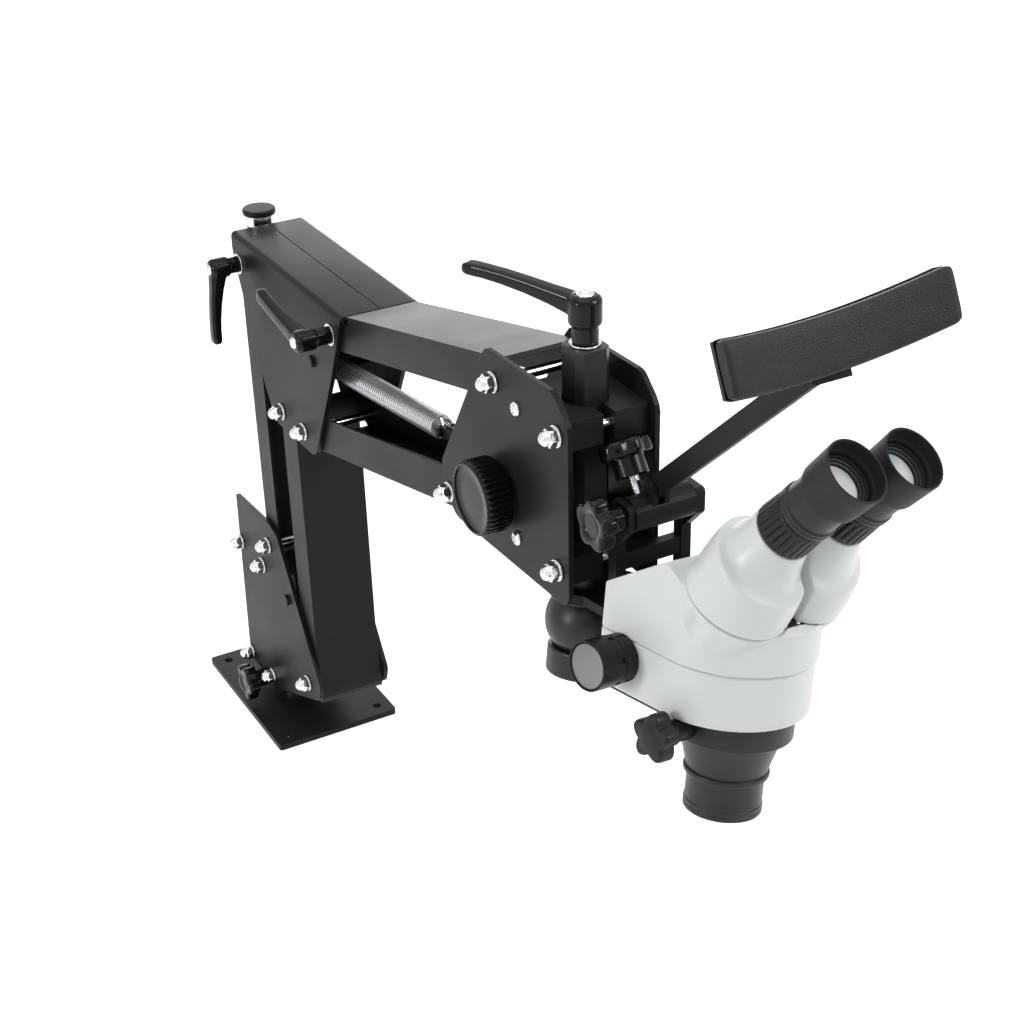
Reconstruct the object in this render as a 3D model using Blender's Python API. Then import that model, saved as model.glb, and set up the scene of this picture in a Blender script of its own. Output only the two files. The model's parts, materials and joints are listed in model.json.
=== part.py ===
"""Stereo zoom microscope with two eyepieces on a spring balanced boom stand.

Metres, +Z up. The origin is the centre of the base plate's underside, +X runs from the
base plate towards the microscope and +Y to its far side. Two parallel linkages carry the
microscope: a pair of posts from the base to the elbow, and a pair of bars from the elbow
to the head. A ball joint under the head tilts the ring that holds the microscope.
"""
import math

import bmesh
import bpy
from mathutils import Matrix, Vector

GAP = 0.0003                 # clearance between pieces that touch
RUN = 0.0006                 # running clearance beside a moving link

# Base plate and swivel
BASE_LENGTH = 0.190
BASE_WIDTH = 0.130
BASE_THICK = 0.006
BASE_HOLE_RADIUS = 0.0045
BASE_HOLE_INSET = 0.015
SWIVEL_X = -0.010
SWIVEL_RADIUS = 0.011
SWIVEL_FLANGE_RADIUS = 0.026
SWIVEL_FLANGE_THICK = 0.005

# Widths across the linkages
LINK_HALF_WIDTH = 0.032      # outer face of every channel from the middle plane
PLATE_THICK = 0.004          # side plates and elbow sheet
CHANNEL_WALL = 0.0025

# Linkage pivots, as (x, z)
REAR_POST_LOW = (0.0380, 0.2030)
POST_VECTOR = (-0.0085, 0.2930)
POST_OFFSET = (0.0770, -0.1185)
UPPER_BAR_REAR = (0.2310, 0.5000)
BAR_VECTOR = (0.2870, 0.0700)
BAR_OFFSET = (-0.0750, -0.1220)
ELBOW_STOP = (0.1868, 0.4586)
BASE_STOP = (0.0777, 0.1606)

# Channel sections, measured from the pivot line
CHANNEL_WEB = 0.0170
CHANNEL_OPEN = 0.0150
REAR_POST_WEB = 0.0110
REAR_POST_OPEN = 0.0190
FRONT_POST_FLARE = 0.007
LINK_END_RADIUS = 0.0165
LINK_ROOT = 0.030            # how far a bar's web stays clear of the elbow
LINK_ROOT_HEIGHT = 0.010

# Elbow
ELBOW_TOP = 0.523
ELBOW_REAR = 0.015
ELBOW_FRONT = 0.2534
TONGUE_HALF_WIDTH = 0.013
TONGUE_LENGTH = 0.035

# Head
HEAD_TOP = 0.592
HEAD_FRONT = 0.621
HEAD_BOLT_X = 0.6065
HEAD_BOLT_UP = 0.5649
HEAD_BOLT_LOW = 0.4606
HEAD_BLOCK_REAR = 0.542
HEAD_BLOCK_FRONT = 0.614
HEAD_BLOCK_HEIGHT = 0.022
CLAMP_SLOT = 0.009
SPRING_KNOB_AT = (0.5246, 0.4857)
SPRING_KNOB_RADIUS = 0.0265
SPRING_KNOB_LENGTH = 0.0195
SPRING_PIN_AT = (0.3700, 0.4600)
SPRING_ANCHOR_AT = (0.1500, 0.4310)

# Column and ball
COLUMN_X = 0.583
COLUMN_FLATS = 0.027
COLUMN_CHAMFER = 0.0047
COLUMN_TOP = 0.615
BALL_RADIUS = 0.030
BALL_Z = 0.397
NECK_RADIUS = 0.0275
NECK_BOTTOM = 0.4117
COLLAR_RADIUS = 0.0210
SEAT_GAP = 0.0009             # room for the faceted ball to turn
CUP_RADIUS = 0.0265
CUP_TOP = 0.377
CUP_BOTTOM = 0.345

# Tilt of everything below the ball, in degrees
TILT_YAW = 10.8
TILT_PITCH = -4.5
TILT_ROLL = -10.5

# Fasteners
BOLT_RADIUS = 0.004
BORE_RADIUS = 0.0043
WASHER_RADIUS = 0.0080
WASHER_THICK = 0.0016
NUT_RADIUS = 0.0072
NUT_HEIGHT = 0.0065
DOME_RADIUS = 0.0056
DOME_HEIGHT = 0.0058

# Springs
SPRING_RADIUS = 0.0100
SPRING_WIRE = 0.0024
LOWER_SPRING_X = -0.004

# Forehead rest
REST_X = 0.634
REST_Y = 0.0213
REST_HALF_SPACING = 0.0268
LEG_DEPTH = 0.010
LEG_WIDTH = 0.008
LEG_TOP = 0.500
CROSSBAR_LOW = 0.466
CROSSBAR_HEIGHT = 0.013
BRACKET_THICK = 0.008
TUBE_AT = (0.645, 0.513)
TUBE_RADIUS = 0.0125
TUBE_NEAR = -0.0040
TUBE_FAR = 0.0450
EYE_AT = (0.645, 0.5270)
ARM_Y = 0.0165
ARM_WIDTH = 0.015
ARM_THICK = 0.005
ARM_ANGLE = 42.6
PAD_HALF_LENGTH = 0.080
PAD_HEIGHT = 0.030
PAD_THICK = 0.014
PAD_BOW = 0.007
PAD_LEAN = 26.0
PAD_FROM_ARM_END = (0.0012, 0.0190)
ARM_LENGTH = 0.232

# Microscope, in the upright frame before the ball's tilt
RING_X = 0.734
RING_BORE = 0.0382
RING_OUTER = 0.0426
RING_BOTTOM = 0.3700
RING_TOP = 0.3880
ARM_BAR_HALF_WIDTH = 0.015
ARM_BAR_TOP = 0.3675
ARM_BAR_THICK = 0.0050
SHELL_BOTTOM = 0.3890
SHELL_SEAM = 0.4280
SHELL_TOP = 0.4605
SHELL_REAR = 0.657
SHELL_STRAIGHT = 0.068        # from the rear face to the nose circle's centre
SHELL_NOSE_RADIUS = 0.055
ZOOM_AT = (0.680, 0.414)
ZOOM_RADIUS = 0.0175
ZOOM_HALF_SPAN = 0.089
ZOOM_LENGTH = 0.036
PRISM_TILT = 28.0            # from the vertical
PRISM_AT = (0.752, 0.478)
PRISM_RADIUS = 0.033
PUPIL_HALF = 0.027
PRISM_FLAT = 0.0045
EYE_LIFT = 46.5
EYE_AT_RIM = (0.834, 0.5856)
EYE_TUBE = 0.0840
DIOPTER_RADIUS = 0.0205
DIOPTER_LENGTH = 0.030
EYEPIECE_RADIUS = 0.019
EYECUP_RADIUS = 0.0227
EYECUP_LENGTH = 0.029

PLATE_INNER = LINK_HALF_WIDTH + RUN
PLATE_OUTER = PLATE_INNER + PLATE_THICK


def add2(a, b):
    return (a[0] + b[0], a[1] + b[1])


REAR_POST_TOP = add2(REAR_POST_LOW, POST_VECTOR)
FRONT_POST_LOW = add2(REAR_POST_LOW, POST_OFFSET)
FRONT_POST_TOP = add2(FRONT_POST_LOW, POST_VECTOR)
UPPER_BAR_FRONT = add2(UPPER_BAR_REAR, BAR_VECTOR)
LOWER_BAR_REAR = add2(UPPER_BAR_REAR, BAR_OFFSET)
LOWER_BAR_FRONT = add2(LOWER_BAR_REAR, BAR_VECTOR)
ARM_END = (EYE_AT[0] + ARM_LENGTH * math.cos(math.radians(ARM_ANGLE)),
           EYE_AT[1] + ARM_LENGTH * math.sin(math.radians(ARM_ANGLE)))
PAD_CENTRE = add2(ARM_END, PAD_FROM_ARM_END)
SHELL_NOSE_X = SHELL_REAR + SHELL_STRAIGHT

BALL_CENTRE = Vector((COLUMN_X, 0.0, BALL_Z))
TILT = (Matrix.Rotation(math.radians(TILT_YAW), 4, "Z")
        @ Matrix.Rotation(math.radians(TILT_PITCH), 4, "Y")
        @ Matrix.Rotation(math.radians(TILT_ROLL), 4, "X"))
SCOPE_FRAME = Matrix.Translation(BALL_CENTRE) @ TILT @ Matrix.Translation(-BALL_CENTRE)


# Scene and materials

def clear_scene():
    for obj in list(bpy.data.objects):
        bpy.data.objects.remove(obj, do_unlink=True)


def material(name, colour, roughness, metallic=0.0):
    mat = bpy.data.materials.new(name)
    mat.use_nodes = True
    shader = mat.node_tree.nodes["Principled BSDF"]
    shader.inputs["Base Color"].default_value = (*colour, 1.0)
    shader.inputs["Roughness"].default_value = roughness
    shader.inputs["Metallic"].default_value = metallic
    return mat


def make_materials():
    return {
        "powder": material("black_powder_coat", (0.030, 0.030, 0.032), 0.45),
        "plastic": material("black_plastic", (0.012, 0.012, 0.013), 0.28),
        "zinc": material("bright_zinc", (0.72, 0.73, 0.75), 0.22, 1.0),
        "spring": material("spring_steel", (0.60, 0.61, 0.62), 0.25, 1.0),
        "white": material("white_paint", (0.76, 0.79, 0.77), 0.35),
        "anodised": material("black_anodised", (0.020, 0.020, 0.021), 0.35, 0.4),
        "rubber": material("soft_rubber", (0.018, 0.018, 0.018), 0.65),
        "leather": material("black_pad_cover", (0.020, 0.020, 0.020), 0.60),
        "nylon": material("white_nylon", (0.80, 0.80, 0.78), 0.40),
    }


# Mesh tools

def mesh_object(name, verts, faces, mat):
    mesh = bpy.data.meshes.new(name)
    mesh.from_pydata([tuple(v) for v in verts], [], faces)
    mesh.validate()
    mesh.update()
    obj = bpy.data.objects.new(name, mesh)
    bpy.context.collection.objects.link(obj)
    if mat is not None:
        mesh.materials.append(mat)
    mesh.shade_smooth()
    mesh.set_sharp_from_angle(angle=math.radians(32))
    return obj


def outward(obj):
    """Turn every face of a closed mesh outwards."""
    bm = bmesh.new()
    bm.from_mesh(obj.data)
    bmesh.ops.recalc_face_normals(bm, faces=bm.faces)
    if bm.calc_volume(signed=True) < 0:
        bmesh.ops.reverse_faces(bm, faces=bm.faces)
    bm.to_mesh(obj.data)
    bm.free()
    return obj


def skin(name, rings, mat, closed=False):
    """Join rings of equal point count with quads and cap both ends."""
    count = len(rings[0])
    verts = [v for ring in rings for v in ring]
    faces = []
    pairs = len(rings) if closed else len(rings) - 1
    for i in range(pairs):
        a = i * count
        b = ((i + 1) % len(rings)) * count
        for j in range(count):
            k = (j + 1) % count
            faces.append((a + j, a + k, b + k, b + j))
    if not closed:
        faces.append(tuple(reversed(range(count))))
        faces.append(tuple(range(len(verts) - count, len(verts))))
    return outward(mesh_object(name, verts, faces, mat))


def frame_at(origin, axis, side=None):
    """Frame at origin whose Z runs along axis and whose X follows side."""
    z = Vector(axis).normalized()
    x = Vector(side) if side is not None else Vector((1, 0, 0))
    if abs(x.dot(z)) > 0.95:
        x = Vector((0, 0, 1))
    x = (x - z * x.dot(z)).normalized()
    y = z.cross(x)
    rows = ((x.x, y.x, z.x, origin[0]), (x.y, y.y, z.y, origin[1]),
            (x.z, y.z, z.z, origin[2]), (0, 0, 0, 1))
    return Matrix(rows)


def circle(radius, count, phase=0.0):
    step = 2 * math.pi / count
    return [(radius * math.cos(phase + i * step), radius * math.sin(phase + i * step))
            for i in range(count)]


def turned(name, profile, frame, mat, count=24):
    """Solid of revolution from (radius, height) pairs along the frame's Z axis."""
    rings = []
    for radius, height in profile:
        ring = [frame @ Vector((x, y, height)) for x, y in circle(radius, count)]
        rings.append(ring)
    return skin(name, rings, mat)


def tube(name, profile, frame, mat, count=24):
    """Closed ring whose section is a loop of (radius, height) pairs."""
    rings = []
    for radius, height in profile:
        rings.append([frame @ Vector((x, y, height)) for x, y in circle(radius, count)])
    return skin(name, rings, mat, closed=True)


def fillet(points, radii, steps=3):
    """Closed outline with each corner replaced by an arc of its own radius."""
    result = []
    total = len(points)
    for i, point in enumerate(points):
        radius = radii[i] if isinstance(radii, (list, tuple)) else radii
        here = Vector(point)
        if radius <= 0:
            result.append(tuple(here))
            continue
        before = (Vector(points[i - 1]) - here).normalized()
        after = (Vector(points[(i + 1) % total]) - here).normalized()
        half = before.angle(after) / 2
        reach = radius / math.tan(half)
        centre = here + (before + after).normalized() * (radius / math.sin(half))
        start = here + before * reach - centre
        end = here + after * reach - centre
        turn = start.angle_signed(end)
        for k in range(steps + 1):
            angle = -turn * k / steps
            c, s = math.cos(angle), math.sin(angle)
            result.append((centre.x + start.x * c - start.y * s,
                           centre.y + start.x * s + start.y * c))
    return result


def side_prism(name, outline, y_low, y_high, mat):
    """Extrude an (x, z) outline along Y."""
    rings = [[Vector((x, y, z)) for x, z in outline] for y in (y_low, y_high)]
    return skin(name, rings, mat)


def flat_prism(name, outline, z_low, z_high, mat):
    """Extrude an (x, y) outline along Z."""
    rings = [[Vector((x, y, z)) for x, y in outline] for z in (z_low, z_high)]
    return skin(name, rings, mat)


def block(name, low, high, mat):
    outline = [(low[0], low[1]), (high[0], low[1]), (high[0], high[1]), (low[0], high[1])]
    return flat_prism(name, outline, low[2], high[2], mat)


def bore(at, radius, y_low, y_high, count=8):
    """Cutter along Y through the (x, z) point at."""
    frame = frame_at((at[0], y_low, at[1]), (0, 1, 0))
    wide = radius / math.cos(math.pi / count)
    return turned("bore", [(wide, 0), (wide, y_high - y_low)], frame, None, count)


def combine(obj, others, operation):
    """Apply Booleans with other solids and remove them."""
    for other in others:
        mod = obj.modifiers.new(operation.lower(), "BOOLEAN")
        mod.operation = operation
        mod.solver = "EXACT"
        mod.object = other
    graph = bpy.context.evaluated_depsgraph_get()
    graph.update()
    mesh = bpy.data.meshes.new_from_object(obj.evaluated_get(graph))
    old = obj.data
    obj.modifiers.clear()
    obj.data = mesh
    mesh.name = old.name
    bpy.data.meshes.remove(old)
    for other in others:
        bpy.data.objects.remove(other, do_unlink=True)
    obj.data.shade_smooth()
    obj.data.set_sharp_from_angle(angle=math.radians(32))
    return obj


def cut(obj, *cutters):
    return combine(obj, cutters, "DIFFERENCE")


def join(obj, *others):
    return combine(obj, others, "UNION")


def pivot(obj, origin, parent=None):
    """Move an object's origin without moving its mesh, and parent it."""
    origin = Vector(origin)
    obj.data.transform(Matrix.Translation(-origin))
    obj.location = origin
    if parent is not None:
        obj.parent = parent
    return obj


# Fasteners and knobs

def through_bolt(name, at, mats, half=PLATE_OUTER, far_nut=True, near_nut=True):
    """Bolt along Y with a washer and a domed nut outside each plate."""
    count = 12
    face = half + GAP
    side = [(BOLT_RADIUS, face), (WASHER_RADIUS, face),
            (WASHER_RADIUS, face + WASHER_THICK), (-NUT_RADIUS, face + WASHER_THICK),
            (-NUT_RADIUS, face + WASHER_THICK + NUT_HEIGHT),
            (DOME_RADIUS * 0.45, face + WASHER_THICK + NUT_HEIGHT + DOME_HEIGHT)]
    plain = [(BOLT_RADIUS, half + RUN)]
    near = side if near_nut else plain
    far = side if far_nut else plain
    profile = [(r, -y) for r, y in reversed(near)] + [(r, y) for r, y in far]
    rings = []
    for radius, y in profile:
        hexagon = radius < 0
        ring = []
        for i, (cx, cz) in enumerate(circle(abs(radius), count)):
            shrink = math.cos(math.pi / 6) if hexagon and i % 2 else 1.0
            ring.append(Vector((at[0] + cx * shrink, y, at[1] + cz * shrink)))
        rings.append(ring)
    return skin(name, rings, mats["zinc"])


def lobed_ring(lobes, outer, inner, steps):
    """Outline of a lobed knob: round lobes with hollows between them."""
    points = []
    count = lobes * steps
    for i in range(count):
        angle = 2 * math.pi * i / count
        wave = 0.5 + 0.5 * math.cos(lobes * angle)
        radius = inner + (outer - inner) * wave ** 0.7
        points.append((radius * math.cos(angle), radius * math.sin(angle)))
    return points


def star_knob(name, frame, radius, thick, stem_radius, stem_length, screw_radius,
              screw_length, mat, lobes=5):
    """Lobed knob: screw, collar, then the lobed head with a softly domed face."""
    count = lobes * 5
    lobed = lobed_ring(lobes, radius, radius * 0.72, 5)
    start = screw_length
    rings = []
    for r, h in ((screw_radius, 0.0), (screw_radius, start), (stem_radius, start),
                 (stem_radius * 1.05, start + stem_length)):
        rings.append([frame @ Vector((x, y, h)) for x, y in circle(r, count)])
    base = start + stem_length
    for scale, h in ((0.98, base), (1.0, base + thick * 0.80), (0.88, base + thick)):
        rings.append([frame @ Vector((x * scale, y * scale, h)) for x, y in lobed])
    return skin(name, rings, mat)


def fluted_knob(name, frame, radius, length, flutes, depth, shaft_radius, shaft_length, mat,
                rise=0.002):
    """Round knob with a fluted rim on a plain shaft."""
    count = flutes * 2
    rim = []
    for i, (x, y) in enumerate(circle(radius, count)):
        shrink = 1.0 if i % 2 else 1.0 - depth / radius
        rim.append((x * shrink, y * shrink))
    rings = []
    for r, h in ((shaft_radius, 0.0), (shaft_radius, shaft_length)):
        rings.append([frame @ Vector((x, y, h)) for x, y in circle(r, count)])
    for scale, h in ((0.97, 0.0), (1.0, length * 0.90), (0.95, length)):
        rings.append([frame @ Vector((x * scale, y * scale, shaft_length + h))
                      for x, y in rim])
    face = [(x * 0.86, y * 0.86) for x, y in circle(radius, count)]
    rings.append([frame @ Vector((x, y, shaft_length + length - rise)) for x, y in face])
    return skin(name, rings, mat)


def clamp_lever(name, frame, stud_length, neck, hub, handle, angle, mats):
    """Ratchet lever: stud, neck and hub along the frame's Z, handle at an angle round it."""
    neck_radius, neck_length = neck
    hub_radius, hub_length = hub
    handle_length, lift = handle
    top = stud_length + neck_length + hub_length
    profile = [(BOLT_RADIUS, 0.0), (BOLT_RADIUS, stud_length), (neck_radius, stud_length),
               (neck_radius, stud_length + neck_length),
               (hub_radius, stud_length + neck_length + 0.002), (hub_radius, top - 0.003),
               (hub_radius * 0.72, top), (hub_radius * 0.55, top + 0.0025)]
    body = turned(name, profile, frame, mats["plastic"], 16)
    turn = Matrix.Rotation(angle, 4, "Z")
    rings = []
    stations = ((0.0, 0.0070, 0.0058), (0.25, 0.0062, 0.0045), (0.60, 0.0066, 0.0042),
                (0.90, 0.0078, 0.0046), (1.0, 0.0050, 0.0030))
    mid = top - hub_length * 0.42
    for share, half_wide, half_thick in stations:
        along = hub_radius * 0.35 + (handle_length - hub_radius * 0.35) * share
        height = mid + lift * math.sin(share * math.pi / 2)
        outline = fillet([(-half_wide, -half_thick), (half_wide, -half_thick),
                          (half_wide, half_thick), (-half_wide, half_thick)],
                         min(half_wide, half_thick) * 0.7, 1)
        rings.append([frame @ turn @ Vector((along, w, height + t)) for w, t in outline])
    return join(body, skin("handle", rings, mats["plastic"]))


def swept(name, path, radius, sides, mat):
    """Wire of constant radius along a list of points."""
    rings = []
    side = None
    for i, point in enumerate(path):
        ahead = path[min(i + 1, len(path) - 1)] - path[max(i - 1, 0)]
        ahead.normalize()
        if side is None:
            side = ahead.orthogonal().normalized()
        side = (side - ahead * side.dot(ahead)).normalized()
        other = ahead.cross(side)
        rings.append([point + (side * c + other * s) for c, s in circle(radius, sides)])
    return skin(name, rings, mat)


def tension_spring(name, start, end, plane, coils, mat, pin_radius):
    """Close wound spring from pin to pin with a half loop hooked over each pin."""
    axis = (end - start)
    length = axis.length
    axis.normalize()
    side = (plane - axis * plane.dot(axis)).normalized()
    up = axis.cross(side)
    loop = pin_radius + GAP * 2 + SPRING_WIRE / 2
    wire = SPRING_WIRE / 2
    coil = SPRING_RADIUS - wire
    lead = loop + coil * 1.3
    path = []
    for k in range(5):
        angle = math.radians(-60 + 60 * k)
        path.append(start - axis * (loop * math.cos(angle)) + up * (loop * math.sin(angle)))
    steps = 6
    total = coils * steps
    for k in range(total + 1):
        angle = 2 * math.pi * k / steps + math.pi / 2
        along = lead + (length - 2 * lead) * k / total
        path.append(start + axis * along + up * (coil * math.sin(angle))
                    + side * (coil * math.cos(angle)))
    for k in range(5):
        angle = math.radians(180 - 60 * k)
        path.append(end + axis * (loop * math.cos(angle)) + up * (loop * math.sin(angle)))
    return swept(name, path, wire, 4, mat)


# Links

def channel(name, start, end, web, open_side, mat, web_sign=1.0, root=0.0, flare=0.0):
    """Folded channel between two pivots: flanges across Y, web along one edge."""
    origin = Vector((start[0], 0, start[1]))
    along = Vector((end[0] - start[0], 0, end[1] - start[1]))
    length = along.length
    along.normalize()
    normal = Vector((-along.z, 0, along.x)) * web_sign
    radius = LINK_END_RADIUS
    low = -open_side
    if root > 0:
        outline = [(-radius, low), (length + radius, low), (length + radius, web),
                   (root, web), (root, LINK_ROOT_HEIGHT), (-radius, LINK_ROOT_HEIGHT)]
        radii = [radius * 0.72, radius * 0.72, radius * 0.72, 0.0, 0.0, radius * 0.55]
    else:
        outline = [(-radius, low), (length + radius, low), (length + radius, web),
                   (length * 0.19, web), (0.0, web + flare), (-radius, web + flare)]
        radii = [radius * 0.72, radius * 0.72, radius * 0.62, 0.02, 0.01, radius * 0.55]
        if flare == 0:
            outline = [outline[0], outline[1], outline[2], (-radius, web)]
            radii = [radius * 0.6, radius * 0.6, radius * 0.6, radius * 0.6]
    outline = fillet(outline, radii, 2)

    def place(t, n, y):
        return origin + along * t + normal * n + Vector((0, y, 0))

    body = skin(name, [[place(t, n, y) for t, n in outline]
                       for y in (-LINK_HALF_WIDTH, LINK_HALF_WIDTH)], mat)
    inner = LINK_HALF_WIDTH - CHANNEL_WALL
    over = radius * 2
    if flare:
        pocket_line = [(-over, low - over), (length + over, low - over),
                       (length + over, web - CHANNEL_WALL),
                       (length * 0.19, web - CHANNEL_WALL),
                       (0.0, web + flare - CHANNEL_WALL), (-over, web + flare - CHANNEL_WALL)]
    else:
        pocket_line = [(-over, low - over), (length + over, low - over),
                       (length + over, web - CHANNEL_WALL), (-over, web - CHANNEL_WALL)]
    pocket = skin("pocket", [[place(t, n, y) for t, n in pocket_line]
                             for y in (-inner, inner)], None)
    reach = LINK_HALF_WIDTH * 1.5
    cutters = [pocket, bore(start, BORE_RADIUS, -reach, reach),
               bore(end, BORE_RADIUS, -reach, reach)]
    return cut(body, *cutters)


def make_base(mats):
    corner = BASE_LENGTH / 2
    side = BASE_WIDTH / 2
    outline = fillet([(-corner, -side), (corner, -side), (corner, side), (-corner, side)],
                     0.003, 2)
    plate = flat_prism("base_plate", outline, 0.0, BASE_THICK, mats["powder"])
    holes = []
    for sx in (-1, 1):
        for sy in (-1, 1):
            at = (sx * (corner - BASE_HOLE_INSET), sy * (side - BASE_HOLE_INSET), -0.01)
            holes.append(turned("hole", [(BASE_HOLE_RADIUS, 0), (BASE_HOLE_RADIUS, 0.03)],
                                frame_at(at, (0, 0, 1)), None, 16))
    cut(plate, *holes)
    foot = BASE_THICK + GAP
    top = SWIVEL_BLOCKS["up"][1] - 0.006
    profile = [(SWIVEL_FLANGE_RADIUS, foot), (SWIVEL_FLANGE_RADIUS, foot + SWIVEL_FLANGE_THICK),
               (SWIVEL_RADIUS, foot + SWIVEL_FLANGE_THICK), (SWIVEL_RADIUS, top)]
    turned("swivel_post", profile, frame_at((SWIVEL_X, 0, 0), (0, 0, 1)), mats["zinc"], 20)


SWIVEL_BLOCKS = {
    "low": (0.020, 0.056, (-0.038, 0.0370), (0.018, 0.0385)),
    "up": (0.156, 0.184, (-0.038, 0.1710), (0.018, 0.1705)),
}
BLOCK_MARGIN = 0.009
SWIVEL_KNOB_AT = (0.002, 0.0290)
SWIVEL_KNOB_STEM = WASHER_THICK + NUT_HEIGHT + DOME_HEIGHT + 0.0014
STOP_RADIUS = 0.0035
SPRING_EYE_Z = 0.196
HOOK_PIN_RADIUS = 0.0014
HOOK_SLOT = 0.0036
SPRING_SCREW_DEPTH = 0.048


def hook_slot(height):
    """Cutter that opens a slot for a spring hook round a pin at this height."""
    reach = HOOK_PIN_RADIUS + SPRING_WIRE + 0.0035
    return block("slot", (LOWER_SPRING_X - 0.02, -HOOK_SLOT / 2, height - reach),
                 (LOWER_SPRING_X + 0.02, HOOK_SLOT / 2, height + reach), None)


def hook_pin(height, half):
    return turned("pin", [(HOOK_PIN_RADIUS, -half), (HOOK_PIN_RADIUS, half)],
                  frame_at((LOWER_SPRING_X, 0, height), (0, 1, 0)), None, 8)


def make_swivel_block(name, key, mats):
    """Block that turns on the post, with its two cross bolts."""
    low, high, rear, front = SWIVEL_BLOCKS[key]
    half = PLATE_INNER - GAP
    body = block(name, (rear[0] - BLOCK_MARGIN, -half, low),
                 (front[0] + BLOCK_MARGIN, half, high), mats["powder"])
    depth = high - 0.005 if key == "up" else high + 0.01
    shaft = turned("shaft", [(SWIVEL_RADIUS + GAP, low - 0.01),
                             (SWIVEL_RADIUS + GAP, depth)],
                   frame_at((SWIVEL_X, 0, 0), (0, 0, 1)), None, 20)
    cutters = [shaft, bore(rear, BORE_RADIUS, -0.05, 0.05),
               bore(front, BORE_RADIUS, -0.05, 0.05)]
    if key == "up":
        eye_frame = frame_at((LOWER_SPRING_X, 0, high - 0.002), (0, 0, 1))
        stalk = turned("stalk", [(0.006, 0), (0.006, SPRING_EYE_Z + 0.006 - high + 0.002)],
                       eye_frame, None, 12)
        join(body, stalk)
        cutters.append(hook_slot(SPRING_EYE_Z))
    else:
        cutters.append(bore(SWIVEL_KNOB_AT, BORE_RADIUS, -0.05, 0.0))
    cut(body, *cutters)
    if key == "up":
        join(body, hook_pin(SPRING_EYE_Z, 0.0045))
    through_bolt(name + "_bolt_rear", rear, mats)
    through_bolt(name + "_bolt_front", front, mats)


def make_base_sides(mats):
    outline = fillet([(-0.045, 0.031), (-0.042, 0.224), (0.046, 0.229), (0.062, 0.224),
                      (0.1445, 0.094), (0.139, 0.076), (0.038, 0.032)],
                     [0.003, 0.002, 0.010, 0.010, 0.008, 0.008, 0.006], 2)
    for name, sign in (("base_side_near", -1), ("base_side_far", 1)):
        low, high = sorted((sign * PLATE_INNER, sign * PLATE_OUTER))
        plate = side_prism(name, outline, low, high, mats["powder"])
        points = [REAR_POST_LOW, FRONT_POST_LOW]
        if sign > 0:
            points.append(BASE_STOP)
        for key in ("low", "up"):
            points += [SWIVEL_BLOCKS[key][2], SWIVEL_BLOCKS[key][3]]
        cutters = [bore(p, BORE_RADIUS, low - 0.01, high + 0.01) for p in points]
        if sign < 0:
            cutters.append(bore(SWIVEL_KNOB_AT, BORE_RADIUS, low - 0.01, high + 0.01))
        cut(plate, *cutters)
        if sign < 0:
            join(plate, stop_rod("rod", BASE_STOP, low))




def stop_rod(name, at, near_face):
    """Cross rod from the near plate through the far one, with a flat head at each end."""
    face = PLATE_OUTER + GAP
    head = 0.0055
    thick = 0.003
    profile = [(head, near_face - thick), (head, near_face + 0.001),
               (STOP_RADIUS, near_face + 0.001), (STOP_RADIUS, face), (head, face),
               (head, face + thick)]
    frame = frame_at((at[0], 0, at[1]), (0, 1, 0))
    return turned(name, profile, frame, None, 12)


def make_elbow(mats):
    outline = fillet([(ELBOW_REAR, ELBOW_TOP), (ELBOW_FRONT, ELBOW_TOP), (0.2275, 0.4600),
                      (0.1780, 0.3615), (0.0880, 0.3600), (0.0640, 0.3970),
                      (0.0225, 0.4860), (ELBOW_REAR, 0.5060)],
                     [0.002, 0.002, 0.03, 0.014, 0.014, 0.02, 0.006, 0.004], 2)
    hood = side_prism("elbow_hood", outline, -PLATE_OUTER, PLATE_OUTER, mats["powder"])
    reach = 0.4
    pocket = block("pocket", (-reach, -PLATE_INNER, 0.0),
                   (reach * 2, PLATE_INNER, ELBOW_TOP - PLATE_THICK), None)
    wide = PLATE_OUTER * 1.5
    cutters = [pocket]
    for at in (REAR_POST_TOP, FRONT_POST_TOP, UPPER_BAR_REAR, LOWER_BAR_REAR):
        cutters.append(bore(at, BORE_RADIUS, -wide, wide))
    cut(hood, *cutters)
    tongue = block("tongue", (ELBOW_REAR - TONGUE_LENGTH, -TONGUE_HALF_WIDTH,
                              ELBOW_TOP - PLATE_THICK),
                   (ELBOW_REAR + 0.01, TONGUE_HALF_WIDTH, ELBOW_TOP), None)
    anchor = turned("anchor", [(STOP_RADIUS, -PLATE_INNER - 0.002),
                               (STOP_RADIUS, PLATE_INNER + 0.002)],
                    frame_at((SPRING_ANCHOR_AT[0], 0, SPRING_ANCHOR_AT[1]), (0, 1, 0)),
                    None, 10)
    head = [(0.0055, -PLATE_OUTER - 0.003), (0.0055, -PLATE_OUTER + 0.002),
            (STOP_RADIUS, -PLATE_OUTER + 0.002), (STOP_RADIUS, PLATE_OUTER - 0.002),
            (0.0055, PLATE_OUTER - 0.002), (0.0055, PLATE_OUTER + 0.003)]
    rod = turned("rod", head, frame_at((ELBOW_STOP[0], 0, ELBOW_STOP[1]), (0, 1, 0)), None,
                 12)
    join(hood, tongue, anchor, rod)
    hole = turned("hole", [(BORE_RADIUS, 0.4), (BORE_RADIUS, 0.6)],
                  frame_at((LOWER_SPRING_X, 0, 0), (0, 0, 1)), None, 12)
    cut(hood, hole)
    through_bolt("front_post_bolt_top", FRONT_POST_TOP, mats)
    through_bolt("lower_bar_bolt_rear", LOWER_BAR_REAR, mats)


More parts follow.
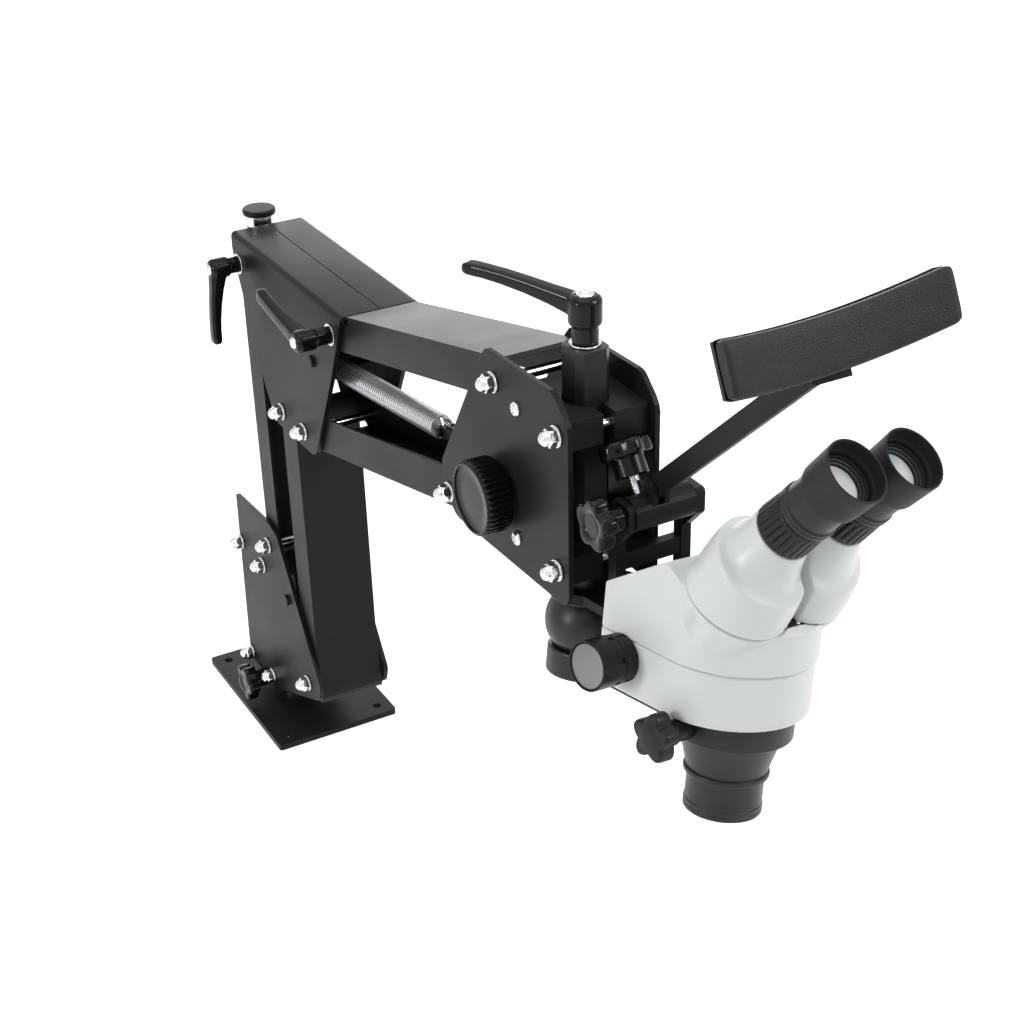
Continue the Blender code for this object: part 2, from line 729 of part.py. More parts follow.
def make_levers(mats):
    stud = PLATE_OUTER * 2 + GAP + 0.006
    for name, at, neck, angle, handle in (
            ("post_lever", REAR_POST_TOP, 0.010, math.radians(-84), (0.070, 0.010)),
            ("elbow_lever", UPPER_BAR_REAR, 0.014, math.radians(166), (0.076, 0.006))):
        frame = frame_at((at[0], PLATE_OUTER + 0.006, at[1]), (0, -1, 0), (1, 0, 0))
        lever = clamp_lever(name, frame, stud, (0.0075, neck), (0.0095, 0.019), handle,
                            angle, mats)
        pivot(lever, (at[0], -PLATE_OUTER, at[1]))


def make_tension_knob(mats):
    foot = ELBOW_TOP + GAP
    profile = [(0.0040, foot - SPRING_SCREW_DEPTH), (0.0040, foot), (0.0140, foot),
               (0.0140, foot + 0.0048), (0.0152, foot + 0.0050), (0.0155, foot + 0.0085),
               (0.0145, foot + 0.0097)]
    frame = frame_at((LOWER_SPRING_X, 0, 0), (0, 0, 1))
    knob = turned("tension_knob", profile, frame, mats["plastic"], 24)
    hook = foot - SPRING_SCREW_DEPTH + 0.004
    cut(knob, hook_slot(hook))
    join(knob, hook_pin(hook, 0.0032))
    pivot(knob, (LOWER_SPRING_X, 0, foot))


def make_springs(mats):
    along = Vector((0, 1, 0))
    anchor = Vector((SPRING_ANCHOR_AT[0], 0, SPRING_ANCHOR_AT[1]))
    pin = Vector((SPRING_PIN_AT[0], 0, SPRING_PIN_AT[1]))
    spring = tension_spring("boom_spring", anchor, pin, along, 24, mats["spring"],
                            STOP_RADIUS)
    pivot(spring, (SPRING_KNOB_AT[0], 0, SPRING_KNOB_AT[1]))
    low = Vector((LOWER_SPRING_X, 0, SPRING_EYE_Z))
    high = Vector((LOWER_SPRING_X, 0, ELBOW_TOP + GAP - SPRING_SCREW_DEPTH + 0.004))
    spring = tension_spring("post_spring", low, high, along, 12, mats["spring"],
                            HOOK_PIN_RADIUS)
    pivot(spring, (LOWER_SPRING_X, 0, SPRING_EYE_Z))


def make_links(mats):
    coat = mats["powder"]
    links = (
        ("rear_post", REAR_POST_LOW, REAR_POST_TOP, REAR_POST_WEB, REAR_POST_OPEN, 1, 0, 0),
        ("front_post", FRONT_POST_LOW, FRONT_POST_TOP, CHANNEL_WEB, CHANNEL_OPEN, -1, 0,
         FRONT_POST_FLARE),
        ("upper_bar", UPPER_BAR_REAR, UPPER_BAR_FRONT, CHANNEL_WEB, CHANNEL_OPEN, 1,
         LINK_ROOT, 0),
        ("lower_bar", LOWER_BAR_REAR, LOWER_BAR_FRONT, CHANNEL_OPEN, CHANNEL_WEB, -1, 0, 0),
    )
    for name, start, end, web, open_side, sign, root, flare in links:
        link = channel(name, start, end, web, open_side, coat, sign, root, flare)
        pivot(link, (start[0], 0, start[1]))


def make_head(mats):
    outline = fillet([(0.5000, 0.5840), (0.5070, HEAD_TOP), (0.6010, HEAD_TOP + 0.0025),
                      (HEAD_FRONT, 0.5760), (HEAD_FRONT, 0.4340), (0.6060, 0.4350),
                      (0.4520, 0.4310), (0.4330, 0.4480), (0.4310, 0.4700)],
                     [0.005, 0.004, 0.012, 0.014, 0.010, 0.004, 0.016, 0.010, 0.012], 2)
    for name, sign in (("head_plate_near", -1), ("head_plate_far", 1)):
        low, high = sorted((sign * PLATE_INNER, sign * PLATE_OUTER))
        plate = side_prism(name, outline, low, high, mats["powder"])
        points = [UPPER_BAR_FRONT, LOWER_BAR_FRONT, SPRING_KNOB_AT,
                  (HEAD_BOLT_X, HEAD_BOLT_UP), (HEAD_BOLT_X, HEAD_BOLT_LOW)]
        cut(plate, *[bore(p, BORE_RADIUS, low - 0.01, high + 0.01) for p in points])
    through_bolt("upper_bar_bolt_front", UPPER_BAR_FRONT, mats)
    through_bolt("lower_bar_bolt_front", LOWER_BAR_FRONT, mats)
    half = PLATE_INNER - GAP
    for name, bolt_z in (("column_block_up", HEAD_BOLT_UP),
                         ("column_block_low", HEAD_BOLT_LOW)):
        low = bolt_z - HEAD_BLOCK_HEIGHT / 2
        body = block(name, (HEAD_BLOCK_REAR, -half, low),
                     (HEAD_BLOCK_FRONT, half, low + HEAD_BLOCK_HEIGHT), mats["powder"])
        hole = flat_prism("hole", column_outline(COLUMN_TURN_RADIUS), low - 0.01,
                          low + HEAD_BLOCK_HEIGHT + 0.01, None)
        slot = block("slot", (COLUMN_X, -CLAMP_SLOT / 2, low - 0.01),
                     (HEAD_BLOCK_FRONT + 0.01, CLAMP_SLOT / 2,
                      low + HEAD_BLOCK_HEIGHT + 0.01), None)
        cut(body, hole, slot, bore((HEAD_BOLT_X, bolt_z), BORE_RADIUS, -0.05, 0.05))
        through_bolt(name + "_bolt", (HEAD_BOLT_X, bolt_z), mats)
    make_spring_yoke(mats)
    frame = frame_at((SPRING_KNOB_AT[0], PLATE_OUTER + GAP, SPRING_KNOB_AT[1]), (0, -1, 0))
    shaft = PLATE_OUTER * 2 + 0.004
    knob = fluted_knob("spring_knob", frame, SPRING_KNOB_RADIUS, SPRING_KNOB_LENGTH, 22,
                       0.0014, BOLT_RADIUS, shaft, mats["plastic"])
    pivot(knob, (SPRING_KNOB_AT[0], -PLATE_OUTER, SPRING_KNOB_AT[1]))


COLUMN_TURN_RADIUS = math.hypot(COLUMN_FLATS / 2, COLUMN_FLATS / 2 - COLUMN_CHAMFER) + GAP


def column_outline(radius):
    """Round outline that clears the column at every angle."""
    return [(COLUMN_X + x, y) for x, y in circle(radius / math.cos(math.pi / 24), 24)]


def make_spring_yoke(mats):
    """Fork on the knob's shaft that carries the pin of the two boom springs."""
    hub = Vector((SPRING_KNOB_AT[0], 0, SPRING_KNOB_AT[1]))
    pin = Vector((SPRING_PIN_AT[0], 0, SPRING_PIN_AT[1]))
    along = (pin - hub).normalized()
    normal = Vector((-along.z, 0, along.x))
    reach = (pin - hub).length
    line = fillet([(-0.011, -0.010), (reach - 0.004, -0.006), (reach - 0.004, 0.006),
                   (-0.011, 0.010)], [0.009, 0.001, 0.001, 0.009], 2)
    half = 0.0035
    body = skin("spring_yoke", [[hub + along * t + normal * n + Vector((0, y, 0))
                                 for t, n in line] for y in (-half, half)], mats["powder"])
    wide = PLATE_INNER - GAP
    boss = turned("boss", [(0.0085, -wide), (0.0085, wide)],
                  frame_at(hub, (0, 1, 0)), None, 12)
    rod_half = SPRING_RADIUS
    rod = turned("rod", [(STOP_RADIUS, -rod_half), (STOP_RADIUS, rod_half)],
                 frame_at(pin, (0, 1, 0)), None, 12)
    notch = block("notch", (pin.x - 0.012, -SPRING_WIRE, pin.z - 0.012),
                  (pin.x + 0.012, SPRING_WIRE, pin.z + 0.012), None)
    cut(body, notch)
    arms = [skin("arm", [[hub + along * t + normal * n + Vector((0, y, 0))
                          for t, n in ((reach * 0.75, -0.0045), (reach + 0.003, -0.0045),
                                       (reach + 0.003, 0.0045), (reach * 0.75, 0.0045))]
                         for y in span], None)
            for span in ((-0.0060, -0.0030), (0.0030, 0.0060))]
    join(body, boss, rod, *arms)
    cut(body, bore(SPRING_KNOB_AT, BORE_RADIUS, -0.05, 0.05))
    pivot(body, hub)


def chamfered_square(half, chamfer):
    side = half - chamfer
    return [(half, -side), (half, side), (side, half), (-side, half),
            (-half, side), (-half, -side), (-side, -half), (side, -half)]


def sphere(name, radius, centre, mat, count, steps):
    """Ball with a small flat at each pole."""
    cap = math.radians(82)
    angles = [cap - 2 * cap * k / steps for k in range(steps + 1)]
    profile = [(radius * math.cos(a), radius * math.sin(a)) for a in angles]
    return turned(name, profile, frame_at(centre, (0, 0, 1)), mat, count)


def make_column(mats):
    outline = [(COLUMN_X + x, y) for x, y in
               chamfered_square(COLUMN_FLATS / 2, COLUMN_CHAMFER)]
    upright = frame_at((COLUMN_X, 0, 0), (0, 0, 1))
    low = BRACKET_TOP - BRACKET_THICK
    column = flat_prism("column", outline, low - 0.0010, COLUMN_TOP, mats["anodised"])
    collar = turned("collar", [(COLLAR_RADIUS, BRACKET_TOP + GAP),
                               (COLLAR_RADIUS, BLOCK_LOW - GAP)], upright, None, 24)
    join(column, collar)
    profile = [(NECK_RADIUS, low - GAP), (NECK_RADIUS, NECK_BOTTOM)]
    neck = turned("neck", profile, upright, None, 24)
    join(column, neck)
    cut(column, sphere("seat", BALL_RADIUS + SEAT_GAP, BALL_CENTRE, None, 24, 10))
    bolt = turned("hole", [(BORE_RADIUS, COLUMN_TOP - 0.035),
                           (BORE_RADIUS, COLUMN_TOP + 0.01)], upright, None, 12)
    cut(column, bolt)
    pivot(column, (COLUMN_X, 0, BRACKET_TOP))
    ball = sphere("ball", BALL_RADIUS, BALL_CENTRE, mats["anodised"], 24, 10)
    pivot(ball, BALL_CENTRE)
    washer = [(0.0052, COLUMN_TOP + GAP), (0.0112, COLUMN_TOP + GAP),
              (0.0112, COLUMN_TOP + 0.0018), (0.0052, COLUMN_TOP + 0.0018)]
    tube("column_washer", washer, upright, mats["nylon"], 20)
    base = COLUMN_TOP + 0.0018 + GAP
    stud = 0.030
    frame = frame_at((COLUMN_X, 0, base - stud), (0, 0, 1), (1, 0, 0))
    lever = clamp_lever("column_lever", frame, stud, (0.0074, 0.012), (0.0102, 0.022),
                        (0.095, 0.012), math.radians(210), mats)
    pivot(lever, (COLUMN_X, 0, base))


BLOCK_LOW = HEAD_BOLT_LOW - HEAD_BLOCK_HEIGHT / 2
BRACKET_TOP = 0.4323


def make_rest_frame(mats):
    """Offset bracket under the lower block with the two legs of the forehead rest."""
    low = BRACKET_TOP - BRACKET_THICK
    plate = turned("rest_frame", [(NECK_RADIUS, low), (NECK_RADIUS, BRACKET_TOP)],
                   frame_at((COLUMN_X, 0, 0), (0, 0, 1)), mats["powder"], 28)
    near_y = REST_Y - REST_HALF_SPACING
    far_y = REST_Y + REST_HALF_SPACING
    half_d = LEG_DEPTH / 2
    half_w = LEG_WIDTH / 2
    arm = flat_prism("arm", [(COLUMN_X, -0.020), (REST_X + half_d, near_y - half_w),
                             (REST_X + half_d, far_y + half_w),
                             (REST_X - half_d, far_y + half_w), (COLUMN_X, 0.0245)],
                     low, BRACKET_TOP, None)
    parts = [arm]
    for y in (near_y, far_y):
        parts.append(block("leg", (REST_X - half_d, y - half_w, low + 0.001),
                           (REST_X + half_d, y + half_w, LEG_TOP), None))
    parts.append(block("crossbar", (REST_X - half_d * 0.8, near_y, CROSSBAR_LOW),
                       (REST_X + half_d * 0.8, far_y, CROSSBAR_LOW + CROSSBAR_HEIGHT), None))
    ear = [(REST_X - half_d, LEG_TOP - 0.012), (REST_X + half_d, LEG_TOP - 0.012),
           (TUBE_AT[0] + 0.010, TUBE_AT[1] - 0.008), (TUBE_AT[0] + 0.010, TUBE_AT[1] + 0.010),
           (TUBE_AT[0] - 0.010, TUBE_AT[1] + 0.010), (REST_X - half_d, TUBE_AT[1] - 0.004)]
    for low_y, high_y in ((near_y - half_w, TUBE_NEAR - GAP),
                          (TUBE_FAR + GAP, far_y + half_w)):
        parts.append(side_prism("ear", fillet(ear, 0.003, 2), low_y, high_y, None))
    join(plate, *parts)
    hole = flat_prism("hole", column_outline(COLUMN_TURN_RADIUS), low - 0.01,
                      BRACKET_TOP + 0.01, None)
    cut(plate, hole, bore(TUBE_AT, BORE_RADIUS, TUBE_NEAR - 0.02, TUBE_FAR + 0.02))
    pivot(plate, (COLUMN_X, 0, BRACKET_TOP))


def make_rest(mats):
    """Sleeve, arm and pad of the forehead rest, with the two knobs that lock it."""
    hinge = (TUBE_AT[0], ARM_Y, TUBE_AT[1])
    axis = frame_at((TUBE_AT[0], TUBE_NEAR, TUBE_AT[1]), (0, 1, 0))
    length = TUBE_FAR - TUBE_NEAR
    sleeve = turned("rest_sleeve", [(TUBE_RADIUS, 0), (TUBE_RADIUS, length)], axis,
                    mats["powder"], 24)
    angle = math.radians(ARM_ANGLE)
    along = Vector((math.cos(angle), 0, math.sin(angle)))
    normal = Vector((-along.z, 0, along.x))
    eye = Vector((EYE_AT[0], ARM_Y, EYE_AT[1]))
    half = ARM_THICK / 2
    wide = ARM_WIDTH / 2

    def strip(name, start, end, reach, thick, mat):
        line = fillet([(start, -reach), (end, -reach), (end, reach), (start, reach)],
                      [reach * 0.9, 0.001, 0.001, reach * 0.9], 3)
        return skin(name, [[eye + along * t + normal * n + Vector((0, y, 0))
                            for t, n in line] for y in (-thick, thick)], mat)

    lug = side_prism("lug", fillet([(EYE_AT[0] - 0.010, TUBE_AT[1]),
                                    (EYE_AT[0] + 0.010, TUBE_AT[1]),
                                    (EYE_AT[0] + 0.010, EYE_AT[1] + 0.008),
                                    (EYE_AT[0] - 0.010, EYE_AT[1] + 0.008)],
                                   [0, 0, 0.006, 0.006], 3),
                     ARM_Y - half - 0.004, ARM_Y + half + 0.004, None)
    join(sleeve, lug)
    slot = strip("slot", -0.03, ARM_LENGTH, wide + 0.004, half + GAP, None)
    lock = rest_lock_frame()
    hole = turned("hole", [(0.0043, -0.004), (0.0043, 0.03)], lock, None, 10)
    cut(sleeve, slot, bore(TUBE_AT, BORE_RADIUS, TUBE_NEAR - 0.01, TUBE_NEAR + 0.03), hole)
    screw = turned("screw", [(0.0025, -0.0060), (0.0025, 0.0060), (0.0035, 0.0060),
                             (0.0035, 0.0085)], frame_at(eye, (0, -1, 0)), None, 12)
    join(sleeve, screw)
    pivot(sleeve, hinge)
    arm = strip("rest_arm", -wide, ARM_LENGTH, wide, half, mats["powder"])
    cut(arm, bore(EYE_AT, 0.0028, ARM_Y - 0.02, ARM_Y + 0.02, 10))
    face = pad_frame()
    backing = block("backing", (-0.026, -0.014, -PAD_THICK - 0.0035),
                    (0.010, 0.014, -PAD_THICK - GAP), None)
    backing.data.transform(face)
    join(arm, backing)
    pivot(arm, hinge)
    make_pad(face, hinge, mats)
    knob_frame = frame_at((TUBE_AT[0], TUBE_NEAR + 0.024, TUBE_AT[1]), (0, -1, 0))
    reach = 0.024 + (TUBE_NEAR - (REST_Y - REST_HALF_SPACING - LEG_WIDTH / 2)) + GAP
    knob = star_knob("rest_side_knob", knob_frame, 0.0195, 0.0125, 0.0085, 0.011,
                     BOLT_RADIUS, reach, mats["plastic"])
    pivot(knob, (TUBE_AT[0], TUBE_NEAR, TUBE_AT[1]))
    knob = star_knob("rest_lock_knob", lock, 0.0190, 0.0110, 0.0120, 0.0060, 0.0040, 0.0255,
                     mats["plastic"])
    pivot(knob, lock @ Vector((0, 0, 0.0065)))


def pad_frame():
    """Frame on the pad's front face: X up the face, Y across, Z out of it."""
    lean = math.radians(PAD_LEAN)
    out = Vector((math.cos(lean), 0, math.sin(lean)))
    up = Vector((-math.sin(lean), 0, math.cos(lean)))
    centre = Vector((PAD_CENTRE[0], REST_Y, PAD_CENTRE[1])) + out * (PAD_THICK / 2)
    rows = ((up.x, 0, out.x, centre.x), (0, -1, 0, centre.y),
            (up.z, 0, out.z, centre.z), (0, 0, 0, 1))
    return Matrix(rows)


def make_pad(face, hinge, mats):
    """Soft pad, bowed so that its ends reach forward."""
    section = fillet([(-PAD_HEIGHT / 2, -PAD_THICK), (PAD_HEIGHT / 2, -PAD_THICK),
                      (PAD_HEIGHT / 2, 0.0), (-PAD_HEIGHT / 2, 0.0)],
                     [0.003, 0.003, 0.006, 0.006], 2)
    rings = []
    stations = (-1.0, -0.985, -0.94, -0.7, -0.35, 0, 0.35, 0.7, 0.94, 0.985, 1.0)
    for share in stations:
        edge = abs(share)
        shrink = 1.0
        if edge > 0.94:
            shrink = {0.985: 0.86, 1.0: 0.62}[edge]
        bow = PAD_BOW * share * share
        middle = -PAD_THICK / 2
        rings.append([face @ Vector((x * shrink, share * PAD_HALF_LENGTH,
                                     middle + (z - middle) * shrink + bow))
                      for x, z in section])
    pad = skin("rest_pad", rings, mats["leather"])
    pivot(pad, hinge)


def rest_lock_frame():
    direction = Vector((-0.57, 0, 0.82)).normalized()
    centre = Vector((TUBE_AT[0], TUBE_NEAR + 0.0125, TUBE_AT[1]))
    return frame_at(centre + direction * 0.006, direction)


# Microscope: every piece is built upright and then tilted about the ball

def tilted(obj, origin, turning=None):
    """Tilt a piece about the ball and put its origin at a tilted point."""
    frame = SCOPE_FRAME if turning is None else SCOPE_FRAME @ turning
    obj.data.transform(frame)
    return pivot(obj, SCOPE_FRAME @ Vector(origin))


def shell_outline(shrink=0.0):
    """Plan of the microscope body: square rear with round corners and a round nose."""
    half = SHELL_NOSE_RADIUS - shrink
    rear = SHELL_REAR + shrink
    points = []
    for cx, cy, start in ((rear + 0.010, -half + 0.010, 270), (rear + 0.010, half - 0.010, 180)):
        for k in range(4):
            angle = math.radians(start - 30 * k)
            points.append((cx + 0.010 * math.cos(angle), cy + 0.010 * math.sin(angle)))
    for k in range(13):
        angle = math.radians(90 - 180 * k / 12)
        points.append((SHELL_NOSE_X + half * math.cos(angle), half * math.sin(angle)))
    return points


def make_carrier(mats):
    """Cup under the ball, the arm and the ring that clamps the microscope."""
    upright = frame_at((COLUMN_X, 0, 0), (0, 0, 1))
    profile = [(0.014, CUP_BOTTOM), (CUP_RADIUS - 0.002, CUP_BOTTOM),
               (CUP_RADIUS, CUP_BOTTOM + 0.002), (CUP_RADIUS, CUP_TOP)]
    cup = turned("ball_cup", profile, upright, mats["anodised"], 24)
    half = ARM_BAR_HALF_WIDTH
    low = ARM_BAR_TOP - ARM_BAR_THICK
    bar = block("bar", (COLUMN_X + 0.0150, -half, low), (RING_X - 0.0405, half, ARM_BAR_TOP),
                None)
    boss = block("boss", (RING_X - 0.050, -half, low + 0.0005),
                 (RING_X - RING_BORE - 0.001, half, RING_TOP - 0.0005), None)
    screw = turned("screw", [(0.0045, CUP_BOTTOM - 0.003), (0.0045, CUP_BOTTOM + 0.002)],
                   upright, None, 12)
    ring = tube("ring", [(RING_BORE, RING_BOTTOM), (RING_OUTER, RING_BOTTOM),
                         (RING_OUTER, RING_TOP), (RING_BORE, RING_TOP)],
                frame_at((RING_X, 0, 0), (0, 0, 1)), None, 32)
    join(cup, bar, boss, screw, ring)
    seat = sphere("seat", BALL_RADIUS + SEAT_GAP, BALL_CENTRE, None, 24, 10)
    mid = (RING_BOTTOM + RING_TOP) / 2 + 0.001
    knob_frame = frame_at((RING_X - 0.001, -RING_BORE - GAP, mid), (0, -1, 0))
    hole = turned("hole", [(BORE_RADIUS, -0.003), (BORE_RADIUS, 0.02)], knob_frame, None, 12)
    cut(cup, hole, seat)
    tilted(cup, BALL_CENTRE)
    knob = star_knob("ring_knob", knob_frame, 0.0175, 0.0150, 0.0085, 0.0200, BOLT_RADIUS,
                     RING_OUTER - RING_BORE + 0.0006, mats["plastic"], 6)
    tilted(knob, (RING_X - 0.001, -RING_OUTER, mid))


def make_microscope(mats):
    ring_axis = (RING_X, 0, RING_TOP)
    upright = frame_at((RING_X, 0, 0), (0, 0, 1))
    gap = GAP
    profile = [(0.0245, 0.3110), (0.0274, 0.3112), (0.0274, 0.3178),
               (0.0268, 0.3182), (0.0268, 0.3380), (0.0295, 0.3384), (0.0295, 0.3420),
               (0.0280, 0.3424), (0.0358, 0.3690), (RING_BORE - gap, 0.3692),
               (RING_BORE - gap, SHELL_BOTTOM - gap)]
    lens = turned("objective", [(0.0225, 0.3150)] + profile, upright, mats["anodised"], 28)
    tilted(lens, ring_axis)
    axle = frame_at((ZOOM_AT[0], 0, ZOOM_AT[1]), (0, 1, 0))
    lower = shell_body("body_lower", SHELL_BOTTOM, SHELL_SEAM - gap, mats, 0.003)
    axle_hole = turned("hole", [(0.0055, -0.1), (0.0055, -0.046)], axle, None, 12)
    far_hole = turned("hole", [(0.0055, 0.046), (0.0055, 0.1)], axle, None, 12)
    cut(lower, axle_hole, far_hole)
    tilted(lower, ring_axis)
    upper = shell_body("body_upper", SHELL_SEAM, SHELL_TOP, mats, 0.0)
    normal = prism_axis()
    turrets = []
    for side in (-1, 1):
        centre = Vector((PRISM_AT[0], side * PUPIL_HALF, PRISM_AT[1]))
        frame = frame_at(centre, normal)
        turrets.append(turned("turret", [(PRISM_RADIUS + 0.0015, -0.040),
                                         (PRISM_RADIUS + 0.0015, -0.0014),
                                         (PRISM_RADIUS + 0.0003, 0.0)], frame, None, 24))
    join(upper, *turrets)
    under = block("under", (0.6, -0.1, SHELL_SEAM - 0.1), (0.9, 0.1, SHELL_SEAM), None)
    cut(upper, under)
    tilted(upper, ring_axis)
    for name, side in (("zoom_knob_near", -1), ("zoom_knob_far", 1)):
        frame = frame_at((ZOOM_AT[0], side * (SHELL_NOSE_RADIUS - 0.008), ZOOM_AT[1]),
                         (0, side, 0))
        face = 0.008 + gap
        end = ZOOM_HALF_SPAN - SHELL_NOSE_RADIUS + 0.008
        profile = [(0.0052, 0.0), (0.0052, face), (ZOOM_RADIUS - 0.0004, face),
                   (ZOOM_RADIUS - 0.0004, face + 0.0100),
                   (ZOOM_RADIUS - 0.0014, face + 0.0104), (ZOOM_RADIUS - 0.0014, face + 0.0112),
                   (ZOOM_RADIUS, face + 0.0116), (ZOOM_RADIUS, end - 0.0012),
                   (ZOOM_RADIUS - 0.0012, end)]
        knob = turned(name, profile, frame, mats["plastic"], 24)
        tilted(knob, (ZOOM_AT[0], side * SHELL_NOSE_RADIUS, ZOOM_AT[1]))
    for name, side in (("near", -1), ("far", 1)):
        make_eye(name, side, mats)


def shell_body(name, low, high, mats, drop):
    """One half of the body: vertical walls with softened edges."""
    rings = []
    for shrink, z in ((0.0025, low), (0.0, low + 0.0025), (0.0, high - 0.0040),
                      (0.0040, high)):
        if drop and z > low + 0.003:
            shrink = 0.0
        rings.append([Vector((x, y, z)) for x, y in shell_outline(shrink)])
    return skin(name, rings, mats["white"])


def prism_axis():
    tilt = math.radians(PRISM_TILT)
    return Vector((math.sin(tilt), 0, math.cos(tilt)))


def eye_axis():
    lift = math.radians(EYE_LIFT)
    return Vector((math.cos(lift), 0, math.sin(lift)))


def make_eye(name, side, mats):
    """Prism housing that swings for the eye spacing, with its eyepiece."""
    gap = GAP
    centre = Vector((PRISM_AT[0], side * PUPIL_HALF, PRISM_AT[1]))
    normal = prism_axis()
    axis = eye_axis()
    cup_rim = Vector((EYE_AT_RIM[0], side * PUPIL_HALF, EYE_AT_RIM[1]))
    tip = cup_rim - axis * (EYE_TUBE + 0.0003)
    top = centre + normal * 0.024
    rings = []
    stations = ((0.0, PRISM_RADIUS - 0.0012), (0.06, PRISM_RADIUS), (0.94, PRISM_RADIUS),
                (1.0, PRISM_RADIUS - 0.0006))
    flat = PUPIL_HALF - PRISM_FLAT
    for share, radius in stations:
        frame = frame_at(centre + normal * (gap + 0.024 * share), normal)
        rings.append([frame @ Vector(clip_flat(x, y, side, flat))
                      for x, y in circle(radius, 24)])
    for share in (0.25, 0.5, 0.72, 0.88, 1.0):
        bend = normal.lerp(axis, share).normalized()
        spot = top.lerp(tip, share) + normal * (0.004 * math.sin(math.pi * share))
        radius = PRISM_RADIUS - (PRISM_RADIUS - DIOPTER_RADIUS) * (1 - math.sqrt(
            max(0.0, 1 - share ** 2 * 0.98)))
        frame = frame_at(spot, bend)
        rings.append([frame @ Vector(clip_flat(x, y, side, flat))
                      for x, y in circle(radius, 24)])
    housing = skin("prism_housing_" + name, rings, mats["white"])
    tilted(housing, centre)
    frame = frame_at(cup_rim, axis)
    tube_radius = 0.0168
    body = turned("eyepiece_" + name, [
        (tube_radius, -EYE_TUBE), (tube_radius, -0.0520), (0.0204, -0.0518),
        (0.0204, -0.0465), (EYEPIECE_RADIUS, -0.0455),
        (EYEPIECE_RADIUS, -0.0165), (0.0165, -0.0160), (0.0150, -0.0215)],
        frame, mats["anodised"], 20)
    tilted(body, centre)
    ribs = 20
    ring_profile = [(tube_radius + gap, -EYE_TUBE), (0.0190, -EYE_TUBE),
                    (DIOPTER_RADIUS, -EYE_TUBE + 0.0015), (DIOPTER_RADIUS, -0.0540),
                    (0.0196, -0.0524), (tube_radius + gap, -0.0524)]
    rings = []
    for radius, height in ring_profile:
        ring = []
        for i, (x, y) in enumerate(circle(radius, ribs * 2)):
            shrink = 0.974 if radius > 0.02 and i % 2 else 1.0
            ring.append(frame @ Vector((x * shrink, y * shrink, height)))
        rings.append(ring)
    diopter = skin("diopter_" + name, rings, mats["rubber"], closed=True)
    tilted(diopter, cup_rim - axis * EYE_TUBE)
    cup = tube("eyecup_" + name, [
        (EYEPIECE_RADIUS + gap * 1.5, -EYECUP_LENGTH), (0.0210, -EYECUP_LENGTH),
        (0.0218, -0.0200), (EYECUP_RADIUS, -0.0012),
        (EYECUP_RADIUS - 0.0006, 0.0), (0.0212, -0.0006),
        (EYEPIECE_RADIUS + gap * 1.5, -0.0150)],
        frame, mats["rubber"], 24)
    tilted(cup, centre)


def clip_flat(x, y, side, flat):
    """Point of a round section, cut flat on the side towards the other eye."""
    if side < 0:
        return (x, min(y, flat), 0)
    return (x, max(y, -flat), 0)


def main():
    clear_scene()
    mats = make_materials()
    make_base(mats)
    for name, key in (("swivel_block_low", "low"), ("swivel_block_up", "up")):
        make_swivel_block(name, key, mats)
    make_base_sides(mats)
    through_bolt("rear_post_bolt_low", REAR_POST_LOW, mats)
    through_bolt("front_post_bolt_low", FRONT_POST_LOW, mats)
    frame = frame_at((SWIVEL_KNOB_AT[0], -0.014, SWIVEL_KNOB_AT[1]), (0, -1, 0))
    knob = star_knob("swivel_knob", frame, 0.0185, 0.0120, 0.0090, SWIVEL_KNOB_STEM, BOLT_RADIUS,
                     PLATE_OUTER + GAP - 0.014, mats["plastic"])
    pivot(knob, (SWIVEL_KNOB_AT[0], -PLATE_OUTER, SWIVEL_KNOB_AT[1]))
    make_links(mats)
    make_elbow(mats)
    make_levers(mats)
    make_tension_knob(mats)
    make_springs(mats)
    make_head(mats)
    make_column(mats)
    make_rest_frame(mats)
    make_rest(mats)
    make_carrier(mats)
    make_microscope(mats)


main()
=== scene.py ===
# %% [markdown]
# Stereo zoom microscope on a boom stand: the looks
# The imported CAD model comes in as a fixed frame. Folded sheet parts, plates and blocks
# keep their CAD shape and get new finishes. Turned, moulded and sprung parts get finer
# pieces that sit exactly where the CAD says, because a lathe or a mould leaves rounder
# forms than flat facets can show.

# %% Load the frame
import json
import math

import bmesh
import bpy
from mathutils import Matrix, Vector


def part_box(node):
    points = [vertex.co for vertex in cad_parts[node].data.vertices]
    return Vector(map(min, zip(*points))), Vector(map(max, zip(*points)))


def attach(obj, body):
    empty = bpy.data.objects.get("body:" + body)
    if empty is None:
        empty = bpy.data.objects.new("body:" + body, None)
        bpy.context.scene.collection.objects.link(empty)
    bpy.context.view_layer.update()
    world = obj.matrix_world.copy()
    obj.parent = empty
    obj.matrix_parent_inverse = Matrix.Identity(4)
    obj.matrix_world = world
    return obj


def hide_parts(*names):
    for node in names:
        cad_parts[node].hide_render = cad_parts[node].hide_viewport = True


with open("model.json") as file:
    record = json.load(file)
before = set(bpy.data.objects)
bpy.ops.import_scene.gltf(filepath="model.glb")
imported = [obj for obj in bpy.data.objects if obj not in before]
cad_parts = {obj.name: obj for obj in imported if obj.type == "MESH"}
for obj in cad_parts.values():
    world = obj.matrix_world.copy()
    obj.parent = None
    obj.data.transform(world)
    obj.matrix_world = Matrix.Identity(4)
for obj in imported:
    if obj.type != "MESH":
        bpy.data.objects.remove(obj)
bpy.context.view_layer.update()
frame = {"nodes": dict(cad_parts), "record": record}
nodes = frame["nodes"]


# %% [markdown]
# Axes and places
# Most pieces are bodies of revolution, so each is described by a frame: a point on its
# axis, the axis itself and a side direction. The microscope hangs in a ball joint and is
# tilted in the photo, so its pieces are first placed upright and then tilted about the
# ball's centre. One matrix does that for all of them.

